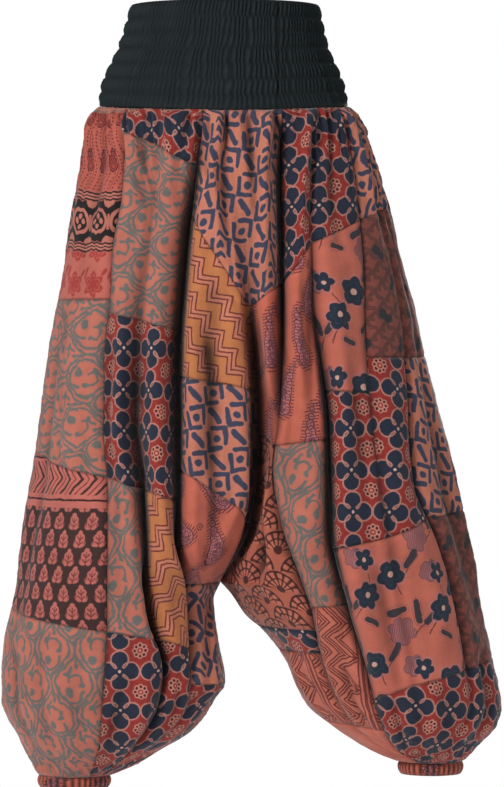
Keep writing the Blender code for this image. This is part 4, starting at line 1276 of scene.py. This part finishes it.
def print_flowers(name):
    """Block-printed cotton: navy blossoms, hatched blossoms and dark leaves on salmon."""
    material, tree = start_material(name)
    place = cloth_place(tree, 1.8)
    cell = repeat(tree, place, 108, 122)
    other = repeat(tree, place, 108, 122, (54, 61))
    ground = add_node(tree, "ShaderNodeRGB")
    ground.default_value = colour("#c96c59")
    stems = figure(tree, cell, strokes=((-12, -34, -22, -56, 0.8), (-14, 6, 2, -18, 0.8),
                                        (24, 12, 40, -12, 0.8)))
    stems = join(tree, stems, figure(tree, other, strokes=((-4, -20, -16, -50, 0.8), (10, 0, 26, 20, 0.8))))
    printed = paint(tree, ground, stems, "#5e2c30", 0.9)
    pale = join(tree, rosette(tree, other, (-6, 2), 20, 6, 5), rosette(tree, cell, (-36, 22), 15, 5, 4))
    printed = paint(tree, printed, pale, "#a06468", 0.75)
    hatch = add_node(tree, "ShaderNodeSeparateXYZ", (place,)).node
    hatch = add_node(tree, MATH, (hatch.outputs[0], 1.3, -1.3), operation="WRAP")
    hatch = add_node(tree, MATH, (outline(tree, hatch, 0, 0.5), pale), operation="MAXIMUM")
    printed = paint(tree, printed, hatch, "#5a3c4a", 0.7)
    printed = paint(tree, printed, outline(tree, pale, -0.4, 0.5), "#5a3c4a", 0.7)
    leaves = figure(tree, cell, strokes=(
        (28, -40, 46, -30, 4.6), (-48, -20, -38, -42, 4.2), (40, 26, 46, 44, 4.0), (-4, -52, 10, -56, 3.6)))
    more = figure(tree, other, strokes=((26, 20, 40, 34, 4.4), (22, -30, 36, -42, 4.0)))
    leaves = join(tree, leaves, more)
    printed = paint(tree, printed, outline(tree, leaves, 2.2, 0.6), "#8d5a62", 0.7)
    printed = paint(tree, printed, leaves, "#26323b", 0.95)
    shape = None
    for x, y, size, petals in ((-8, -22, 19, 6), (20, 10, 20, 5), (-22, 22, 14, 5)):
        shape = join(tree, shape, rosette(tree, cell, (x, y), size, petals, 5.0))
    printed = paint(tree, printed, outline(tree, shape, 1.6, 0.7), "#a9808a", 0.7)
    printed = paint(tree, printed, shape, "#222d3d")
    printed = paint(tree, printed, outline(tree, shape, -7.0, 0.5), "#3c4a5c", 0.6)
    hearts = figure(tree, cell, dots=((-8, -22, 4.0), (20, 10, 4.4), (-22, 22, 3.0)))
    printed = paint(tree, printed, hearts, "#d9a898")
    return finish_cloth(material, tree, printed)


def print_foliage(name):
    """Block-printed cotton: small brown and dark leaves all over dull red."""
    material, tree = start_material(name)
    place = cloth_place(tree, 1.2)
    ground = add_node(tree, "ShaderNodeRGB")
    ground.default_value = colour("#8d4a40")
    leaves = None
    for shift in ((0, 0), (15, 13)):
        cell = repeat(tree, place, 30, 26, shift)
        leaves = join(tree, leaves, figure(tree, cell, strokes=(
            (-8, -6, -2, 0, 2.6), (4, -7, 1, 1, 2.3), (9, 3, 3, 4, 2.4), (-9, 6, -3, 5, 2.2))))
    printed = paint(tree, ground, leaves, "#4a2c2a", 0.9, 0.7)
    printed = paint(tree, printed, outline(tree, leaves, -1.5, 0.35), "#8a5248", 0.8)
    blots = repeat(tree, place, 61, 83, (20, 10))
    blots = figure(tree, blots, dots=((-14, 20, 7), (-6, 14, 6), (16, -18, 7.5), (9, -27, 5)))
    printed = paint(tree, printed, blots, "#2b3136", 0.95, 0.6)
    return finish_cloth(material, tree, printed)


def band_cloth(name):
    """Shirred viscose: near-black teal, dyed in the piece, with a faint sheen, with painted highlight on
    the ruffles' ridges and painted shade in their troughs and along the front seam.
    """
    material, tree = start_material(name)
    metres = add_node(tree, "ShaderNodeUVMap", uv_map="cloth")
    fine = add_node(tree, NOISE, {"Vector": metres, "Scale": 500.0, "Detail": 3.0})
    shade = add_node(tree, "ShaderNodeMix", {"Factor": fine, 6: colour("#070c0d"), 7: colour("#131d20")}, 2,
                     data_type="RGBA")
    # Painted shade and highlight: about twice as light on the ruffles' ridges, down to a third in their
    # troughs.
    fold = add_node(tree, "ShaderNodeAttribute", out="Fac", attribute_name="fold")
    fold = add_node(tree, "ShaderNodeMapRange", {"Value": fold, "From Min": -1.0, "From Max": 1.0,
                                                 "To Min": 2.1, "To Max": 0.3})
    shade = add_node(tree, VECTOR, {0: shade, "Scale": fold}, operation="SCALE")
    bump = add_node(tree, "ShaderNodeBump", {"Strength": 0.3, "Distance": 0.001, "Height": fine})
    shader = add_node(tree, "ShaderNodeBsdfPrincipled", {
        "Base Color": shade, "Roughness": 0.72, "Normal": bump, "IOR": 1.45,
        "Specular IOR Level": 0.22, "Sheen Weight": 0.08, "Sheen Roughness": 0.4})
    add_node(tree, "ShaderNodeOutputMaterial", (shader,))
    return material


PRINTS = {
    "maze": print_maze, "border": print_border, "swirl": print_swirl, "lattice": print_lattice,
    "mosaic": print_mosaic, "zigzag": print_zigzag, "paisley": print_paisley, "fan": print_fan,
    "geometric": print_geometric, "plain": print_plain, "flowers": print_flowers,
    "foliage": print_foliage, "band": band_cloth,
}


def cloth_named(name):
    """One of the garment's cloths, made the first time it is asked for."""
    return bpy.data.materials.get(name + "_cloth") or PRINTS[name](name + "_cloth")


class HaremPantsCloth(bpy.types.PropertyGroup):
    """Sizes that every sewn piece shares."""
    spacing: bpy.props.FloatProperty(
        name="Mesh spacing", description="Spacing of the cloth's points, in millimetres",
        default=3.0, min=1.5, max=20.0)
    thickness: bpy.props.FloatProperty(
        name="Cloth thickness", description="Thickness of the cloth's shell",
        default=0.0008, min=0.0002, max=0.003, unit="LENGTH")


class HaremPantsWaistband(bpy.types.PropertyGroup):
    """Sizes of the shirred waistband."""
    spacing: bpy.props.FloatProperty(
        name="Mesh spacing", description="Spacing of the cloth the band is sewn to, in millimetres",
        default=3.0, min=1.5, max=20.0)
    thickness: bpy.props.FloatProperty(
        name="Band thickness", description="Thickness of the band's shell",
        default=0.0008, min=0.0002, max=0.003, unit="LENGTH")
    thread_rows: bpy.props.IntProperty(
        name="Thread rows", description="Rows of puffs between elastic threads", default=7, min=3, max=16)
    ruffles: bpy.props.IntProperty(
        name="Ruffles", description="Small ruffles all round the band", default=142, min=20, max=200)


class HaremPantsStage(bpy.types.PropertyGroup):
    """The studio round the garment."""
    key_power: bpy.props.FloatProperty(
        name="Key power", description="Power of the large key light", default=76.0, min=0.0, unit="POWER")
    fill_power: bpy.props.FloatProperty(
        name="Fill power", description="Power of each side light", default=10.0, min=0.0, unit="POWER")
    surround: bpy.props.FloatProperty(
        name="Surround", description="How much light the white surround gives", default=0.33, min=0.0)


class OBJECT_OT_harem_pants_cloth(bpy.types.Operator):
    """Sew the printed patches of both legs"""
    bl_idname = "object.harem_pants_cloth"
    bl_label = "Add Printed Patches"

    def execute(self, context):
        sizes = context.scene.harem_pants_cloth
        materials = {name: cloth_named(name) for name in {entry[0] for entry in PATCHES.values()}}
        for name in PATCHES:
            make_patch(name, sizes, materials)
        return {"FINISHED"}


class OBJECT_OT_harem_pants_waistband(bpy.types.Operator):
    """Add the shirred waistband"""
    bl_idname = "object.harem_pants_waistband"
    bl_label = "Add Waistband"

    def execute(self, context):
        make_waistband(context.scene.harem_pants_waistband, {"band": cloth_named("band")})
        return {"FINISHED"}


class OBJECT_OT_harem_pants_cuffs(bpy.types.Operator):
    """Add the elastic casing at each ankle"""
    bl_idname = "object.harem_pants_cuffs"
    bl_label = "Add Cuffs"

    def execute(self, context):
        for leg in LINES:
            make_cuff(leg, context.scene.harem_pants_cloth, {"paisley": cloth_named("paisley")})
        return {"FINISHED"}


class OBJECT_OT_harem_pants_stage(bpy.types.Operator):
    """Add the floor, the soft lights and the camera"""
    bl_idname = "object.harem_pants_stage"
    bl_label = "Add Stage"

    def execute(self, context):
        make_stage(context.scene.harem_pants_stage)
        return {"FINISHED"}


class VIEW3D_PT_harem_pants(bpy.types.Panel):
    """The garment's pieces and the stage"""
    bl_label = "Harem Pants"
    bl_space_type = "VIEW_3D"
    bl_region_type = "UI"
    bl_category = "Harem Pants"

    def draw(self, context):
        layout = self.layout
        for group, operator in PANEL_ROWS:
            box = layout.box()
            for prop in PANEL_GROUPS[group].__annotations__:
                box.prop(getattr(context.scene, group), prop)
            for name in operator:
                box.operator(name)


PANEL_GROUPS = {"harem_pants_cloth": HaremPantsCloth, "harem_pants_waistband": HaremPantsWaistband,
                "harem_pants_stage": HaremPantsStage}
PANEL_ROWS = (
    ("harem_pants_cloth", ("object.harem_pants_cloth", "object.harem_pants_cuffs")),
    ("harem_pants_waistband", ("object.harem_pants_waistband",)),
    ("harem_pants_stage", ("object.harem_pants_stage",)),
)
CLASSES = (HaremPantsCloth, HaremPantsWaistband, HaremPantsStage, OBJECT_OT_harem_pants_cloth,
           OBJECT_OT_harem_pants_waistband, OBJECT_OT_harem_pants_cuffs, OBJECT_OT_harem_pants_stage,
           VIEW3D_PT_harem_pants)


def add_light(name, place, aim, size, power):
    """A large soft light that faces a point."""
    light = bpy.data.lights.new(name, "AREA")
    light.shape = "RECTANGLE"
    light.size, light.size_y = size
    light.energy = power
    lamp = bpy.data.objects.new(name, light)
    lamp.location = place
    towards = mathutils.Vector(aim) - mathutils.Vector(place)
    lamp.rotation_euler = towards.to_track_quat("-Z", "Y").to_euler()
    bpy.context.scene.collection.objects.link(lamp)
    return lamp


def make_stage(stage):
    """White surround, pale floor, soft lights and the camera."""
    scene = bpy.context.scene
    world = bpy.data.worlds.new("surround")
    world.use_nodes = True
    world.node_tree.nodes.clear()
    seen = add_node(world.node_tree, "ShaderNodeLightPath", out="Is Camera Ray")
    level = add_node(world.node_tree, MATH, (seen, 1 - stage.surround, stage.surround),
                     operation="MULTIPLY_ADD")
    white = add_node(world.node_tree, "ShaderNodeBackground", (colour("#ffffff"), level))
    add_node(world.node_tree, "ShaderNodeOutputWorld", (white,))
    scene.world = world
    scene.view_settings.view_transform = "Standard"
    material, tree = start_material("floor")
    paper = add_node(tree, "ShaderNodeBsdfPrincipled", {"Base Color": colour("#fbfbfb"), "Roughness": 0.9})
    add_node(tree, "ShaderNodeOutputMaterial", (paper,))
    bpy.ops.mesh.primitive_circle_add(vertices=96, radius=1.1, fill_type="NGON",
                                      location=(0, 0, CAD_BOUNDS[0][2] - FLOOR_DROP))
    floor = bpy.context.object
    floor.name = "floor"
    floor.data.materials.append(material)
    key = add_light("key", (-1.5, -2.4, 0.6), (0.03, 0, -0.55), (0.6, 0.6), stage.key_power)
    left = add_light("left_fill", (-2.4, -1.6, -0.1), (0.03, 0, -0.5), (1.2, 1.6), stage.fill_power)
    right = add_light("right_fill", (2.3, -1.3, -0.5), (0.05, 0, -0.6), (1.0, 1.6), 1.5 * stage.fill_power)
    back = add_light("back_fill", (0.9, 2.6, 0.3), (0.03, 0, -0.5), (1.4, 1.4), 5 * stage.fill_power)
    lens = bpy.data.cameras.new("camera")
    lens.sensor_width = 36
    lens.lens = 176
    camera = bpy.data.objects.new("camera", lens)
    camera.location = (0.035, -5, -0.504)
    camera.rotation_euler = (np.pi / 2, 0, 0)
    scene.collection.objects.link(camera)
    scene.camera = camera


def register():
    for item in CLASSES:
        bpy.utils.register_class(item)
    for name, group in PANEL_GROUPS.items():
        setattr(bpy.types.Scene, name, bpy.props.PointerProperty(type=group))


def unregister():
    for name in PANEL_GROUPS:
        delattr(bpy.types.Scene, name)
    for item in reversed(CLASSES):
        bpy.utils.unregister_class(item)


def main():
    register()
    bpy.ops.object.harem_pants_cloth()
    bpy.ops.object.harem_pants_cuffs()
    bpy.ops.object.harem_pants_waistband()
    bpy.ops.object.harem_pants_stage()


if __name__ == "__main__":
    main()
